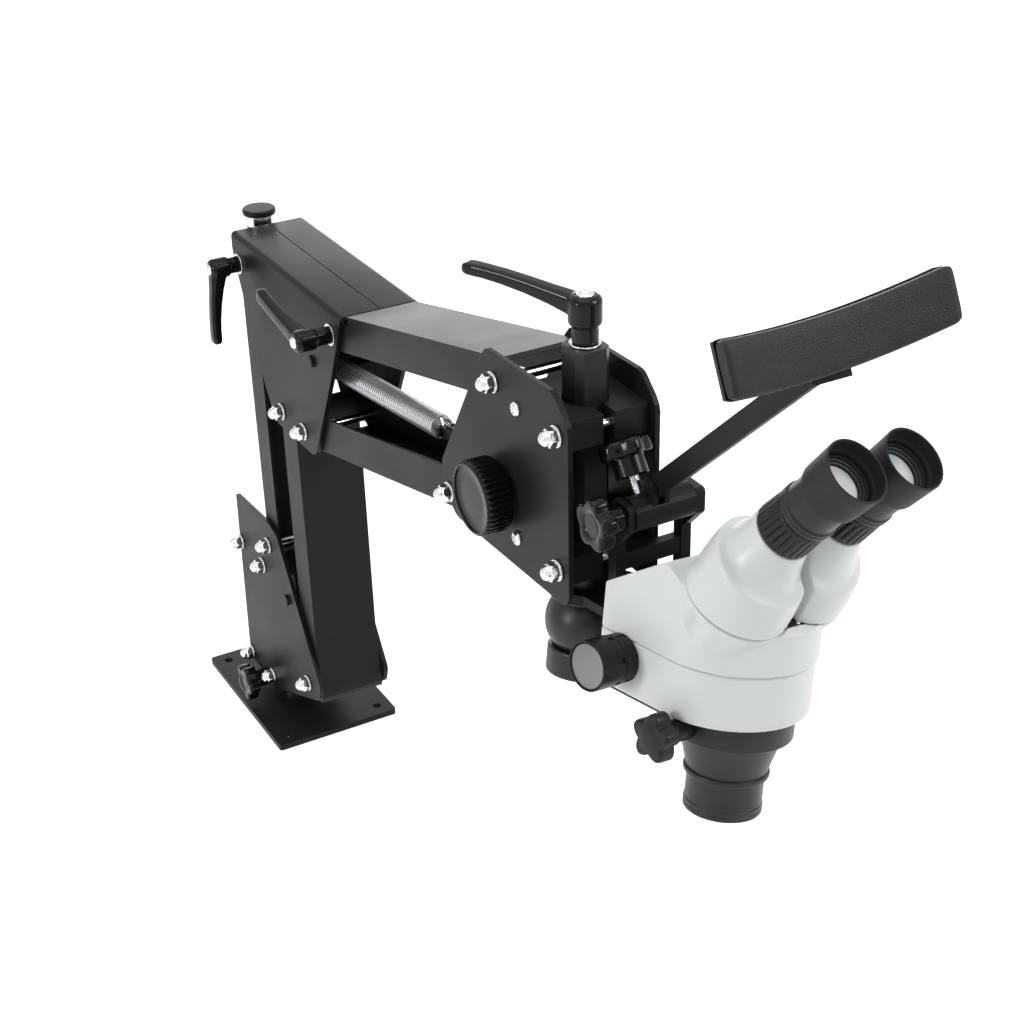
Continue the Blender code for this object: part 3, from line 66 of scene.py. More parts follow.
# %% Frames
COLUMN_X, BALL_Z = 0.583, 0.397
BALL_CENTRE = Vector((COLUMN_X, 0.0, BALL_Z))
TILT = (Matrix.Rotation(math.radians(10.8), 4, "Z")
        @ Matrix.Rotation(math.radians(-4.5), 4, "Y")
        @ Matrix.Rotation(math.radians(-10.5), 4, "X"))
TILTED = Matrix.Translation(BALL_CENTRE) @ TILT @ Matrix.Translation(-BALL_CENTRE)


def axis_frame(origin, axis, side=(1, 0, 0)):
    """Matrix at origin whose Z runs along axis and whose X leans towards side."""
    z = Vector(axis).normalized()
    x = Vector(side)
    if abs(x.normalized().dot(z)) > 0.95:
        x = Vector((0, 0, 1))
    x = (x - z * x.dot(z)).normalized()
    y = z.cross(x)
    return Matrix(((x.x, y.x, z.x, origin[0]), (x.y, y.y, z.y, origin[1]),
                   (x.z, y.z, z.z, origin[2]), (0, 0, 0, 1)))


print("ball centre", tuple(BALL_CENTRE))

# %% [markdown]
# Mesh helpers
# A lathe profile spun round an axis covers lenses, knobs, rings and cups. A loft joins
# closed outlines and covers housings, levers and the pad. Both return smooth shaded
# meshes whose sharp edges are kept by angle.

# %% Mesh helpers
SMOOTH_LIMIT = math.radians(38)


def finish_mesh(obj, angle=SMOOTH_LIMIT):
    """Turn faces outwards and shade smooth with sharp edges by angle."""
    bm = bmesh.new()
    bm.from_mesh(obj.data)
    bmesh.ops.recalc_face_normals(bm, faces=bm.faces)
    if bm.calc_volume(signed=True) < 0:
        bmesh.ops.reverse_faces(bm, faces=bm.faces)
    bm.to_mesh(obj.data)
    bm.free()
    obj.data.shade_smooth()
    obj.data.set_sharp_from_angle(angle=angle)
    return obj


def new_piece(name, verts, faces):
    mesh = bpy.data.meshes.new(name)
    mesh.from_pydata([tuple(v) for v in verts], [], faces)
    mesh.update()
    obj = bpy.data.objects.new(name, mesh)
    bpy.context.scene.collection.objects.link(obj)
    return obj


def loft(name, rings, closed=False):
    """Join closed outlines of equal point count; ends are capped unless closed."""
    count = len(rings[0])
    verts = [v for ring in rings for v in ring]
    faces = []
    spans = len(rings) if closed else len(rings) - 1
    for i in range(spans):
        low = i * count
        high = ((i + 1) % len(rings)) * count
        for j in range(count):
            k = (j + 1) % count
            faces.append((low + j, low + k, high + k, high + j))
    if not closed:
        faces.append(tuple(reversed(range(count))))
        faces.append(tuple(range(len(verts) - count, len(verts))))
    return finish_mesh(new_piece(name, verts, faces))


def circle(radius, count, phase=0.0):
    return [(radius * math.cos(phase + 2 * math.pi * i / count),
             radius * math.sin(phase + 2 * math.pi * i / count)) for i in range(count)]


def turn(name, profile, at, count=72, closed=False):
    """Spin (radius, height) pairs round the Z axis of the matrix at."""
    rings = [[at @ Vector((x, y, h)) for x, y in circle(r, count)] for r, h in profile]
    return loft(name, rings, closed)


def eased(profile, radius=0.0004, steps=3):
    """Round every corner of an open profile by a small radius."""
    result = [profile[0]]
    for before, here, after in zip(profile, profile[1:], profile[2:]):
        p = Vector(here)
        a = Vector(before) - p
        b = Vector(after) - p
        reach = min(radius, a.length * 0.45, b.length * 0.45)
        if reach <= 0 or a.length == 0 or b.length == 0:
            result.append(here)
            continue
        start = p + a.normalized() * reach
        end = p + b.normalized() * reach
        for i in range(steps + 1):
            t = i / steps
            q = start.lerp(p, t).lerp(p.lerp(end, t), t)
            result.append((q.x, q.y))
    result.append(profile[-1])
    return result


def merged(name, *objs):
    """Join several meshes into one piece without changing their shapes."""
    bm = bmesh.new()
    for obj in objs:
        bm.from_mesh(obj.data)
        bpy.data.objects.remove(obj, do_unlink=True)
    mesh = bpy.data.meshes.new(name)
    bm.to_mesh(mesh)
    bm.free()
    piece = bpy.data.objects.new(name, mesh)
    bpy.context.scene.collection.objects.link(piece)
    piece.data.shade_smooth()
    piece.data.set_sharp_from_angle(angle=SMOOTH_LIMIT)
    return piece


def applied(obj):
    """Give an object the mesh that its modifiers make, and drop them."""
    bpy.context.view_layer.update()
    shaped = obj.evaluated_get(bpy.context.evaluated_depsgraph_get())
    mesh = bpy.data.meshes.new_from_object(shaped)
    obj.modifiers.clear()
    obj.data = mesh
    return mesh


def block(name, low, high, at=Matrix.Identity(4)):
    """Plain block between two corners, used as a cutter or a tab."""
    corners = [at @ Vector((x, y, z)) for x in (low[0], high[0]) for y in (low[1], high[1])
               for z in (low[2], high[2])]
    return finish_mesh(new_piece(name, corners, [
        (0, 1, 3, 2), (4, 6, 7, 5), (0, 4, 5, 1), (2, 3, 7, 6), (0, 2, 6, 4), (1, 5, 7, 3)]))


def carved(obj, cutter):
    """Subtract the cutter and drop it."""
    carve = obj.modifiers.new("carve", "BOOLEAN")
    carve.operation = "DIFFERENCE"
    carve.solver = "EXACT"
    carve.use_self = True
    carve.object = cutter
    applied(obj)
    bpy.data.objects.remove(cutter, do_unlink=True)
    return finish_mesh(obj)


def settle(obj, body, slot, finish, *replaced):
    """Give a piece its finish, its body and the CAD nodes that it stands for."""
    obj.data.materials.clear()
    obj.data.materials.append(finish)
    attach(obj, body)
    if replaced:
        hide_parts(*replaced)
    return obj


print("helpers ready")

# %% [markdown]
# Shared surface effects
# Powder coat, moulded plastic, rubber and leather all need a fine relief, and paint on
# metal wears a little at its edges. Each effect is one node group with named inputs, so
# every finish can set its own scale. The groups put out only heights and masks, and each
# finish feeds them to its own shader.

# %% Node groups
def start_group(name, inputs, outputs):
    """New shader node group with float inputs and outputs."""
    group = bpy.data.node_groups.new(name, "ShaderNodeTree")
    for label, value in inputs:
        socket = group.interface.new_socket(label, in_out="INPUT",
                                            socket_type="NodeSocketFloat")
        socket.default_value = value
    for label in outputs:
        group.interface.new_socket(label, in_out="OUTPUT", socket_type="NodeSocketFloat")
    return group, group.nodes.new("NodeGroupInput"), group.nodes.new("NodeGroupOutput")


def math_node(tree, operation, a, b=None):
    """Math node whose inputs are sockets or numbers."""
    node = tree.nodes.new("ShaderNodeMath")
    node.operation = operation
    for socket, value in zip(node.inputs, (a, b)):
        if value is None:
            continue
        if isinstance(value, (int, float)):
            socket.default_value = value
        else:
            tree.links.new(value, socket)
    return node.outputs[0]


def make_grain():
    """Fine relief from two sizes of noise, for coats and mouldings."""
    group, given, put = start_group("Fine relief", [("Size", 900.0), ("Broad", 40.0)],
                                    ["Height", "Patches"])
    place = group.nodes.new("ShaderNodeTexCoord")
    fine = group.nodes.new("ShaderNodeTexNoise")
    fine.inputs["Detail"].default_value = 2.0
    broad = group.nodes.new("ShaderNodeTexNoise")
    broad.inputs["Detail"].default_value = 3.0
    for node, label in ((fine, "Size"), (broad, "Broad")):
        group.links.new(place.outputs["Object"], node.inputs["Vector"])
        group.links.new(given.outputs[label], node.inputs["Scale"])
    group.links.new(fine.outputs["Fac"], put.inputs["Height"])
    group.links.new(broad.outputs["Fac"], put.inputs["Patches"])
    return group


def make_hide():
    """Pebbled grain of a padded cover: rounded cells with creases between them, and a mask of
    the creases for painted shade.
    """
    group, given, put = start_group("Cover grain", [("Size", 420.0), ("Depth", 1.0)],
                                    ["Height", "Crease shade"])
    place = group.nodes.new("ShaderNodeTexCoord")
    cells = group.nodes.new("ShaderNodeTexVoronoi")
    cells.feature = "DISTANCE_TO_EDGE"
    group.links.new(place.outputs["Object"], cells.inputs["Vector"])
    group.links.new(given.outputs["Size"], cells.inputs["Scale"])
    dome = math_node(group, "MINIMUM", cells.outputs["Distance"], 0.22)
    tall = math_node(group, "MULTIPLY", dome, given.outputs["Depth"])
    group.links.new(tall, put.inputs["Height"])
    # Mask of the creases, which the pad's finish paints darker as painted shade.
    crease_shade = math_node(group, "LESS_THAN", cells.outputs["Distance"], 0.05)
    group.links.new(crease_shade, put.inputs["Crease shade"])
    return group


def make_wear():
    """Mask of edges that hands and tools have rubbed, broken up by noise."""
    group, given, put = start_group("Rubbed edges", [("Start", 0.54), ("Breakup", 60.0)],
                                    ["Mask"])
    shape = group.nodes.new("ShaderNodeNewGeometry")
    place = group.nodes.new("ShaderNodeTexCoord")
    patchy = group.nodes.new("ShaderNodeTexNoise")
    group.links.new(place.outputs["Object"], patchy.inputs["Vector"])
    group.links.new(given.outputs["Breakup"], patchy.inputs["Scale"])
    over = math_node(group, "SUBTRACT", shape.outputs["Pointiness"], given.outputs["Start"])
    strong = math_node(group, "MULTIPLY", over, 9.0)
    mask = math_node(group, "MULTIPLY", strong, patchy.outputs["Fac"])
    low = math_node(group, "MAXIMUM", mask, 0.0)
    group.links.new(math_node(group, "MINIMUM", low, 1.0), put.inputs["Mask"])
    return group


GRAIN = make_grain()
HIDE = make_hide()
WEAR = make_wear()
print("node groups:", [g.name for g in bpy.data.node_groups])

# %% [markdown]
# Finishes
# The stand is black powder coat, which is not quite black: it is a dark charcoal whose
# satin skin picks up a grey sheen from the sky. Nuts, screws and the spring are bright
# zinc. Knobs and levers are glossy mouldings. The microscope is smooth enamel in a cool,
# slightly green white. Constants sit on the shader's own sockets, so they export.

# %% Finishes
def start_finish(name, colour, roughness, metallic=0.0, **extra):
    mat = bpy.data.materials.new(name)
    mat.use_nodes = True
    shader = mat.node_tree.nodes["Principled BSDF"]
    shader.inputs["Base Color"].default_value = (*colour, 1.0)
    shader.inputs["Roughness"].default_value = roughness
    shader.inputs["Metallic"].default_value = metallic
    for label, value in extra.items():
        shader.inputs[label.replace("_", " ")].default_value = value
    return mat, mat.node_tree, shader


def place_group(tree, group, **values):
    node = tree.nodes.new("ShaderNodeGroup")
    node.node_tree = group
    for label, value in values.items():
        node.inputs[label].default_value = value
    return node


def add_relief(tree, shader, height, distance, strength=1.0, rounding=0.0):
    """Feed a height to the shader's normal, over edges softened by a Bevel node."""
    bump = tree.nodes.new("ShaderNodeBump")
    bump.inputs["Distance"].default_value = distance
    bump.inputs["Strength"].default_value = strength
    tree.links.new(height, bump.inputs["Height"])
    if rounding > 0:
        soft = tree.nodes.new("ShaderNodeBevel")
        soft.samples = 6
        soft.inputs["Radius"].default_value = rounding
        tree.links.new(soft.outputs["Normal"], bump.inputs["Normal"])
    tree.links.new(bump.outputs["Normal"], shader.inputs["Normal"])


def vary(tree, shader, label, fac, low, high):
    """Drive a shader number between low and high by a 0 to 1 value."""
    span = tree.nodes.new("ShaderNodeMapRange")
    span.inputs["From Min"].default_value = 0.3
    span.inputs["From Max"].default_value = 0.7
    span.inputs["To Min"].default_value = low
    span.inputs["To Max"].default_value = high
    tree.links.new(fac, span.inputs["Value"])
    tree.links.new(span.outputs["Result"], shader.inputs[label])


def tint(tree, shader, fac, plain, marked):
    """Mix the base colour between two tones by a mask."""
    blend = tree.nodes.new("ShaderNodeMix")
    blend.data_type = "RGBA"
    blend.inputs["A"].default_value = (*plain, 1.0)
    blend.inputs["B"].default_value = (*marked, 1.0)
    tree.links.new(fac, blend.inputs["Factor"])
    tree.links.new(blend.outputs["Result"], shader.inputs["Base Color"])


def grained(name, colour, roughness, spread, grain_size, relief=(), metallic=0.0, **extra):
    """Finish whose roughness wanders between two values over a fine relief."""
    mat, tree, shader = start_finish(name, colour, roughness, metallic, **extra)
    grain = place_group(tree, GRAIN, Size=grain_size[0], Broad=grain_size[1])
    vary(tree, shader, "Roughness", grain.outputs["Patches"], *spread)
    if relief:
        add_relief(tree, shader, grain.outputs["Height"], *relief)
    return mat, tree, shader, grain


def powder_coat():
    plain = (0.0095, 0.0095, 0.0105)
    mat, tree, shader, _ = grained("Black powder coat", plain, 0.40, (0.36, 0.44),
                                   (1500.0, 14.0), (0.00005, 0.6, 0.0007),
                                   Specular_IOR_Level=0.13)
    wear = place_group(tree, WEAR, Start=0.56, Breakup=80.0)
    tint(tree, shader, wear.outputs["Mask"], plain, (0.03, 0.03, 0.032))
    return mat


def white_enamel():
    plain = (0.790, 0.812, 0.802)
    mat, tree, shader, grain = grained("Cool white enamel", plain, 0.34, (0.30, 0.40),
                                       (420.0, 9.0), (0.00004, 0.35))
    tint(tree, shader, grain.outputs["Patches"], plain, (0.780, 0.804, 0.796))
    return mat


def pad_cover():
    plain = (0.013, 0.013, 0.0135)
    mat, tree, shader, _ = grained("Grained pad cover", plain, 0.46, (0.45, 0.60),
                                   (900.0, 25.0), Specular_IOR_Level=0.30)
    hide = place_group(tree, HIDE, Size=620.0, Depth=1.0)
    add_relief(tree, shader, hide.outputs["Height"], 0.0006, 1.0)
    # The creases are painted a little darker: painted shade.
    tint(tree, shader, hide.outputs["Crease shade"], plain, (0.010, 0.010, 0.011))
    return mat


def lens_reflection_paint():
    """Lens face with painted reflection: the pale pink, green and blue that an anti-reflection
    coat reflects, laid into the base colour.
    """
    mat, tree, shader = start_finish("Lens with painted reflection", (0.7, 0.7, 0.7), 0.05)
    place = tree.nodes.new("ShaderNodeTexCoord")
    reflection_bands = tree.nodes.new("ShaderNodeTexNoise")
    reflection_bands.inputs["Scale"].default_value = 70.0
    reflection_bands.inputs["Detail"].default_value = 0.0
    tree.links.new(place.outputs["Object"], reflection_bands.inputs["Vector"])
    # The ramp's pink, green and blue are painted reflection of the coat, not a colour of the
    # glass.
    reflection_ramp = tree.nodes.new("ShaderNodeValToRGB")
    stops = reflection_ramp.color_ramp.elements
    stops[0].position, stops[0].color = 0.30, (0.78, 0.80, 0.80, 1)
    stops[1].position, stops[1].color = 0.72, (0.62, 0.60, 0.66, 1)
    for position, colour in ((0.42, (0.80, 0.62, 0.66, 1)), (0.52, (0.42, 0.74, 0.62, 1)),
                             (0.62, (0.38, 0.68, 0.78, 1))):
        stop = reflection_ramp.color_ramp.elements.new(position)
        stop.color = colour
    tree.links.new(reflection_bands.outputs["Fac"], reflection_ramp.inputs["Fac"])
    tree.links.new(reflection_ramp.outputs["Color"], shader.inputs["Base Color"])
    return mat


COAT = powder_coat()
ZINC = grained("Bright zinc plate", (0.74, 0.75, 0.77), 0.16, (0.10, 0.24),
               (900.0, 160.0), (0.00001, 0.5), 1.0)[0]
WIRE = grained("Spring wire", (0.58, 0.59, 0.61), 0.28, (0.26, 0.36), (1400.0, 120.0),
               (), 0.6)[0]
GLOSS = grained("Glossy black moulding", (0.005, 0.005, 0.0055), 0.14, (0.11, 0.18),
                (260.0, 45.0), (0.00002, 0.3), Specular_IOR_Level=0.22)[0]
MATTE = grained("Matte black moulding", (0.009, 0.0095, 0.0095), 0.36, (0.32, 0.42),
                (1800.0, 60.0), (0.00004, 0.5), Specular_IOR_Level=0.24)[0]
ANODISED = grained("Satin black anodised", (0.013, 0.013, 0.0145), 0.34, (0.32, 0.42),
                   (2200.0, 25.0), (0.00003, 0.5), Specular_IOR_Level=0.35)[0]
ENAMEL = white_enamel()
RUBBER = grained("Soft rubber", (0.015, 0.0158, 0.0158), 0.52, (0.52, 0.66),
                 (1600.0, 30.0), (0.00006, 0.7), Specular_IOR_Level=0.30)[0]
COVER = pad_cover()
END_CAP = grained("Dark spun aluminium", (0.19, 0.195, 0.20), 0.42, (0.38, 0.48),
                  (1300.0, 40.0), (0.00002, 0.4), 0.9)[0]
NYLON = grained("White nylon", (0.78, 0.78, 0.76), 0.40, (0.35, 0.48), (900.0, 50.0),
                (0.00003, 0.4))[0]
LENS_REFLECTION = lens_reflection_paint()
FINISH_BY_SLOT = {
    "powder_coat": COAT, "zinc": ZINC, "spring_steel": WIRE, "knob_plastic": GLOSS,
    "knob_matte": MATTE, "black_anodised": ANODISED, "white_paint": ENAMEL,
    "soft_rubber": RUBBER, "pad_cover": COVER, "white_nylon": NYLON,
}
for part in frame["record"]["subparts"]:
    obj = nodes[part["node"]]
    obj.data.materials.clear()
    obj.data.materials.append(FINISH_BY_SLOT[part["material_slot"]])
print("finishes:", len(FINISH_BY_SLOT) + 2)

# %% [markdown]
# Castings
# The enamelled housings are castings: their faces flow into each other with a soft edge.
# A casting is made from overlapping closed forms that are fused on a fine grid and then
# relaxed a little, which rounds every outer edge and fills every inner corner.

# %% Castings
def cast(name, solids, grid=0.0011, passes=5):
    """Fuse closed forms into one skin and soften its edges."""
    piece = merged(name, *solids)
    fuse = piece.modifiers.new("fuse", "REMESH")
    fuse.mode = "VOXEL"
    fuse.voxel_size = grid * 1.0
    fuse.use_smooth_shade = True
    relax = piece.modifiers.new("relax", "SMOOTH")
    relax.factor = 0.5
    relax.iterations = passes
    applied(piece).shade_smooth()
    return piece


def flat_side(x, y, side, flat):
    """Section point kept behind the flat that faces the other eye."""
    if side < 0:
        return (x, min(y, flat), 0)
    return (x, max(y, -flat), 0)


print("castings ready")

# %% [markdown]
# The microscope's body
# Two white shells meet at a fine seam. In plan they are square at the rear and round at
# the nose. The upper shell carries two tilted seats on which the prism housings swing.

# %% Body shells
RING_X = 0.734
SHELL_REAR = 0.6545
SHELL_CORNER = 0.006
SHELL_HALF = 0.0562
SHELL_LOW, SHELL_SEAM, SHELL_HIGH = 0.389, 0.428, 0.4595
ROOF_CLIMB = math.radians(30)
PUPIL_HALF = 0.027
PRISM_X, PRISM_Z = 0.7497, 0.4736
PRISM_RADIUS = 0.0362
PRISM_NORMAL = Vector((math.sin(math.radians(28)), 0, math.cos(math.radians(28))))
EYE_AXIS = Vector((math.cos(math.radians(46.5)), 0, math.sin(math.radians(46.5))))
EYE_RIM_X, EYE_RIM_Z = 0.834, 0.5856
EYE_TUBE_LENGTH = 0.084
NECK_REACH = 0.0085


LOWER_NOSE = (0.7270, 0.0566)
UPPER_NOSE = (0.7280, 0.0574)


def body_plan(shrink, nose):
    """Square rear with small round corners and a nose that is a little wider."""
    half = SHELL_HALF - shrink
    rear = SHELL_REAR + shrink
    corner = SHELL_CORNER
    points = []
    for cy, start in ((-half + corner, 270), (half - corner, 180)):
        for k in range(8):
            turned_by = math.radians(start - 90 * k / 7)
            points.append((rear + corner + corner * math.cos(turned_by),
                           cy + corner * math.sin(turned_by)))
    for k in range(49):
        turned_by = math.radians(90 - 180 * k / 48)
        points.append((nose[0] + (nose[1] - shrink) * math.cos(turned_by),
                       (nose[1] - shrink) * math.sin(turned_by)))
    return points


def shell_slab(name, stations, nose):
    return loft(name, [[TILTED @ Vector((x, y, z)) for x, y in body_plan(shrink, nose)]
                       for shrink, z in stations])


def trim(obj, point, normal):
    """Cut away what lies beyond a plane and close the cut."""
    bm = bmesh.new()
    bm.from_mesh(obj.data)
    cut = bmesh.ops.bisect_plane(bm, geom=bm.verts[:] + bm.edges[:] + bm.faces[:],
                                 plane_co=point, plane_no=normal, clear_outer=True)
    rim = [e for e in cut["geom_cut"] if isinstance(e, bmesh.types.BMEdge)]
    bmesh.ops.edgeloop_fill(bm, edges=rim)
    bm.to_mesh(obj.data)
    bm.free()
    return obj


TURN = TILT.to_3x3()
lower = cast("lower_shell", [shell_slab("slab", [
    (0.0016, SHELL_LOW), (0.0004, SHELL_LOW + 0.0008), (0.0, SHELL_LOW + 0.0020),
    (0.0, SHELL_SEAM - 0.0008), (0.0004, SHELL_SEAM - 0.0002)], LOWER_NOSE)], 0.0010, 2)
settle(lower, "microscope", "white_paint", ENAMEL, "body_lower")

seats = []
for side in (-1, 1):
    centre = TILTED @ Vector((PRISM_X, side * PUPIL_HALF, PRISM_Z))
    seat = axis_frame(centre, TILT @ PRISM_NORMAL)
    seats.append(turn("seat", [(PRISM_RADIUS - 0.0110, -0.040),
                               (PRISM_RADIUS + 0.0002, -0.0010),
                               (PRISM_RADIUS - 0.0004, -0.0003)], seat, 96))
slab = shell_slab("slab", [
    (0.0004, SHELL_SEAM + 0.0003), (0.0, SHELL_SEAM + 0.0010),
    (0.0, SHELL_HIGH - 0.0020), (0.0, SHELL_HIGH + 0.05)], UPPER_NOSE)
seat_plane = Vector((PRISM_X, 0, PRISM_Z)) - PRISM_NORMAL * 0.0012
trim(slab, TILTED @ seat_plane, TURN @ PRISM_NORMAL)
roof_normal = Vector((-math.sin(ROOF_CLIMB), 0, math.cos(ROOF_CLIMB)))
trim(slab, TILTED @ Vector((SHELL_REAR, 0, SHELL_HIGH)), TURN @ roof_normal)


def seat_point(ahead, across, over):
    """Point by its distances on the plane that both prism housings turn on."""
    fall = Vector((PRISM_NORMAL.z, 0, -PRISM_NORMAL.x))
    spot = Vector((PRISM_X, across, PRISM_Z)) + fall * ahead + PRISM_NORMAL * over
    return TILTED @ spot


def nose_lip():
    """Raised crescent in front of the two housings."""
    rings = []
    for k in range(25):
        across = -0.0215 + 0.043 * k / 24
        reach = math.sqrt(UPPER_NOSE[1] ** 2 - across ** 2) + UPPER_NOSE[0]
        outer = (reach - PRISM_X) / PRISM_NORMAL.z
        off = abs(across) - PUPIL_HALF
        inner = max(0.0318, math.sqrt((PRISM_RADIUS + 0.0011) ** 2 - off ** 2))
        inner = min(inner, outer - 0.0010)
        rings.append([seat_point(inner, across, -0.006), seat_point(outer, across, -0.006),
                      seat_point(outer, across, 0.0006),
                      seat_point(outer - 0.0006, across, 0.0015),
                      seat_point(inner, across, 0.0017)])
    return loft("lip", rings)


upper = cast("upper_shell", [slab, nose_lip()] + seats, 0.0010, 2)
trim(upper, TILTED @ Vector((0.7, 0, SHELL_SEAM + 0.0003)), TURN @ Vector((0, 0, -1)))
upper.data.shade_smooth()
upper.data.set_sharp_from_angle(angle=math.radians(50))
settle(upper, "microscope", "white_paint", ENAMEL, "body_upper")
plate_outline = [(0.012, -0.012), (0.0285, -0.0165), (0.0316, -0.0125), (0.0322, 0.0),
                 (0.0316, 0.0125), (0.0285, 0.0165), (0.012, 0.012)]
plate = loft("prism_base_plate", [[seat_point(a, c, over) for a, c in plate_outline]
                                  for over in (-0.0030, 0.0)])
settle(plate, "microscope", "black_anodised", ANODISED)
for across in (-0.0062, 0.0062):
    at = axis_frame(seat_point(0.0292, across, -0.0004), TURN @ PRISM_NORMAL)
    screw = turn("plate_screw", eased([(0.0004, 0.0), (0.0016, 0.0), (0.0017, 0.0008),
                                       (0.0012, 0.0014), (0.0006, 0.0015),
                                       (0.0005, 0.0009), (0.0002, 0.0009)], 0.0002), at, 32)
    settle(screw, "microscope", "zinc", ZINC)
print("shells", len(lower.data.polygons), len(upper.data.polygons))

# %% [markdown]
# Prism housings and eyepieces
# Each housing is a drum on its tilted seat, cut flat towards the other eye, whose soft
# shoulder bends over into the eye tube. Above it come the ribbed diopter ring, a plain
# satin barrel and a rubber eyecup with a lens deep inside, whose tinted face is painted
# reflection.

# %% Prism housings
def prism_housing(name, side):
    centre = Vector((PRISM_X, side * PUPIL_HALF, PRISM_Z))
    rim = Vector((EYE_RIM_X, side * PUPIL_HALF, EYE_RIM_Z))
    tip = rim - EYE_AXIS * (EYE_TUBE_LENGTH - NECK_REACH + 0.0003)
    flat = PUPIL_HALF - 0.0045
    rise = (tip - centre).length
    toward = (tip - centre).normalized()
    drum_share = 0.0345 / rise
    soft = 0.0036 / rise
    wall = [(0.0003 / rise, PRISM_RADIUS - 0.0008, 0.0), (0.02, PRISM_RADIUS, 0.0)]
    for k in range(1, 9):
        wall.append((drum_share * k / 8, PRISM_RADIUS - 0.0012 * (k / 8) ** 3, (k / 8) ** 1.2))
    edge = PRISM_RADIUS - 0.0012
    for along, drop in ((0.4, 0.0003), (0.7, 0.0009), (0.9, 0.0018), (1.0, 0.0030)):
        wall.append((drum_share + soft * along, edge - drop, 1.0))
    top_share = drum_share + soft
    low_edge = edge - 0.0030
    for k in range(1, 13):
        t = k / 12
        wall.append((top_share + (1.0 - top_share) * t,
                     low_edge + (0.0208 - low_edge) * t ** 0.42, 1.0))
    rings = []
    for share, radius, lean in wall:
        bend = PRISM_NORMAL.lerp(EYE_AXIS, lean).normalized()
        at = axis_frame(centre + toward * (rise * share), bend)
        rings.append([TILTED @ (at @ Vector(flat_side(x, y, side, flat)))
                      for x, y in circle(radius, 120)])
    return cast(name, [loft("drum", rings)], 0.0009, 2)


for word, side in (("near", -1), ("far", 1)):
    housing = prism_housing("prism_cover_" + word, side)
    settle(housing, "eye_" + word, "white_paint", ENAMEL, "prism_housing_" + word)
print("prism housings", len(housing.data.polygons))

# %% Eyepieces
TUBE_RADIUS = 0.0168
BARREL_RADIUS = 0.0190


def ribbed_ring(name, at, ribs, low, high, radius, depth, taper):
    """Rubber ring with broad ribs that fade out towards both ends."""
    steps = ribs * 8
    rings = []
    inner = TUBE_RADIUS + 0.0003
    stations = [(inner, low, 0), (radius - 0.0016, low, 0), (radius - 0.0004, low + 0.0006, 0),
                (radius, low + 0.0020, 0.35)]
    for k in range(7):
        share = k / 6
        stations.append((radius - taper * share, low + 0.0035 + (high - low - 0.0075) * share,
                         1.0))
    narrow = radius - taper
    stations += [(narrow, high - 0.0022, 0.35), (narrow - 0.0004, high - 0.0008, 0),
                 (narrow - 0.0010, high - 0.0002, 0), (inner, high, 0)]
    for r, h, ribbing in stations:
        ring = []
        for i, (x, y) in enumerate(circle(1.0, steps)):
            phase = (i % 8) / 8
            dip = 0.5 - 0.5 * math.cos(2 * math.pi * phase)
            size = r - depth * ribbing * dip ** 3
            ring.append(at @ Vector((x * size, y * size, h)))
        rings.append(ring)
    return loft(name, rings, closed=True)


for word, side in (("near", -1), ("far", 1)):
    rim = Vector((EYE_RIM_X, side * PUPIL_HALF, EYE_RIM_Z))
    at = axis_frame(TILTED @ rim, TILT @ EYE_AXIS, TILT @ Vector((0, 1, 0)))
    length = EYE_TUBE_LENGTH
    barrel = turn("eye_barrel_" + word, eased([
        (TUBE_RADIUS, -length), (TUBE_RADIUS, -0.0518), (0.0200, -0.0518),
        (0.0204, -0.0512), (0.0204, -0.0494), (0.0198, -0.0490), (0.0198, -0.0480),
        (0.0204, -0.0476), (0.0204, -0.0462), (BARREL_RADIUS, -0.0452),
        (BARREL_RADIUS, -0.0130), (0.0174, -0.0122), (0.0172, -0.0132),
        (0.0172, -0.0150), (0.0160, -0.0152), (0.0158, -0.0166), (0.0144, -0.0168),
        (0.0142, -0.0186)], 0.0003), at, 120)
    settle(barrel, "eye_" + word, "black_anodised", ANODISED, "eyepiece_" + word)
    bulge = [(0.0141 * math.cos(a), -0.0187 + 0.0020 * math.sin(a))
             for a in [math.radians(d) for d in (0, 15, 30, 45, 60, 72, 82, 88)]]
    lens = turn("eye_lens_" + word, [(0.0141, -0.0200)] + bulge, at, 96)
    settle(lens, "eye_" + word, "black_anodised", LENS_REFLECTION)
    ring = ribbed_ring("diopter_ring_" + word, at, 26, NECK_REACH - length, -0.0524, 0.0207,
                       0.0012, 0.0006)
    settle(ring, "diopter_ring_" + word, "soft_rubber", MATTE, "diopter_" + word)
    cup = turn("rubber_cup_" + word, eased([
        (BARREL_RADIUS + 0.0003, -0.0290), (0.0200, -0.0290), (0.0208, -0.0284),
        (0.0214, -0.0268), (0.0217, -0.0240), (0.0221, -0.0140), (0.0225, -0.0040),
        (0.0227, -0.0010), (0.0224, -0.0002), (0.0218, 0.0), (0.0213, -0.0004),
        (0.0210, -0.0016), (0.0204, -0.0080), (0.0199, -0.0092), (0.0195, -0.0098),
        (BARREL_RADIUS + 0.0003, -0.0102)], 0.0003),
        at, 120, closed=True)
    settle(cup, "eye_" + word, "soft_rubber", RUBBER, "eyecup_" + word)
print("eyepieces ready")
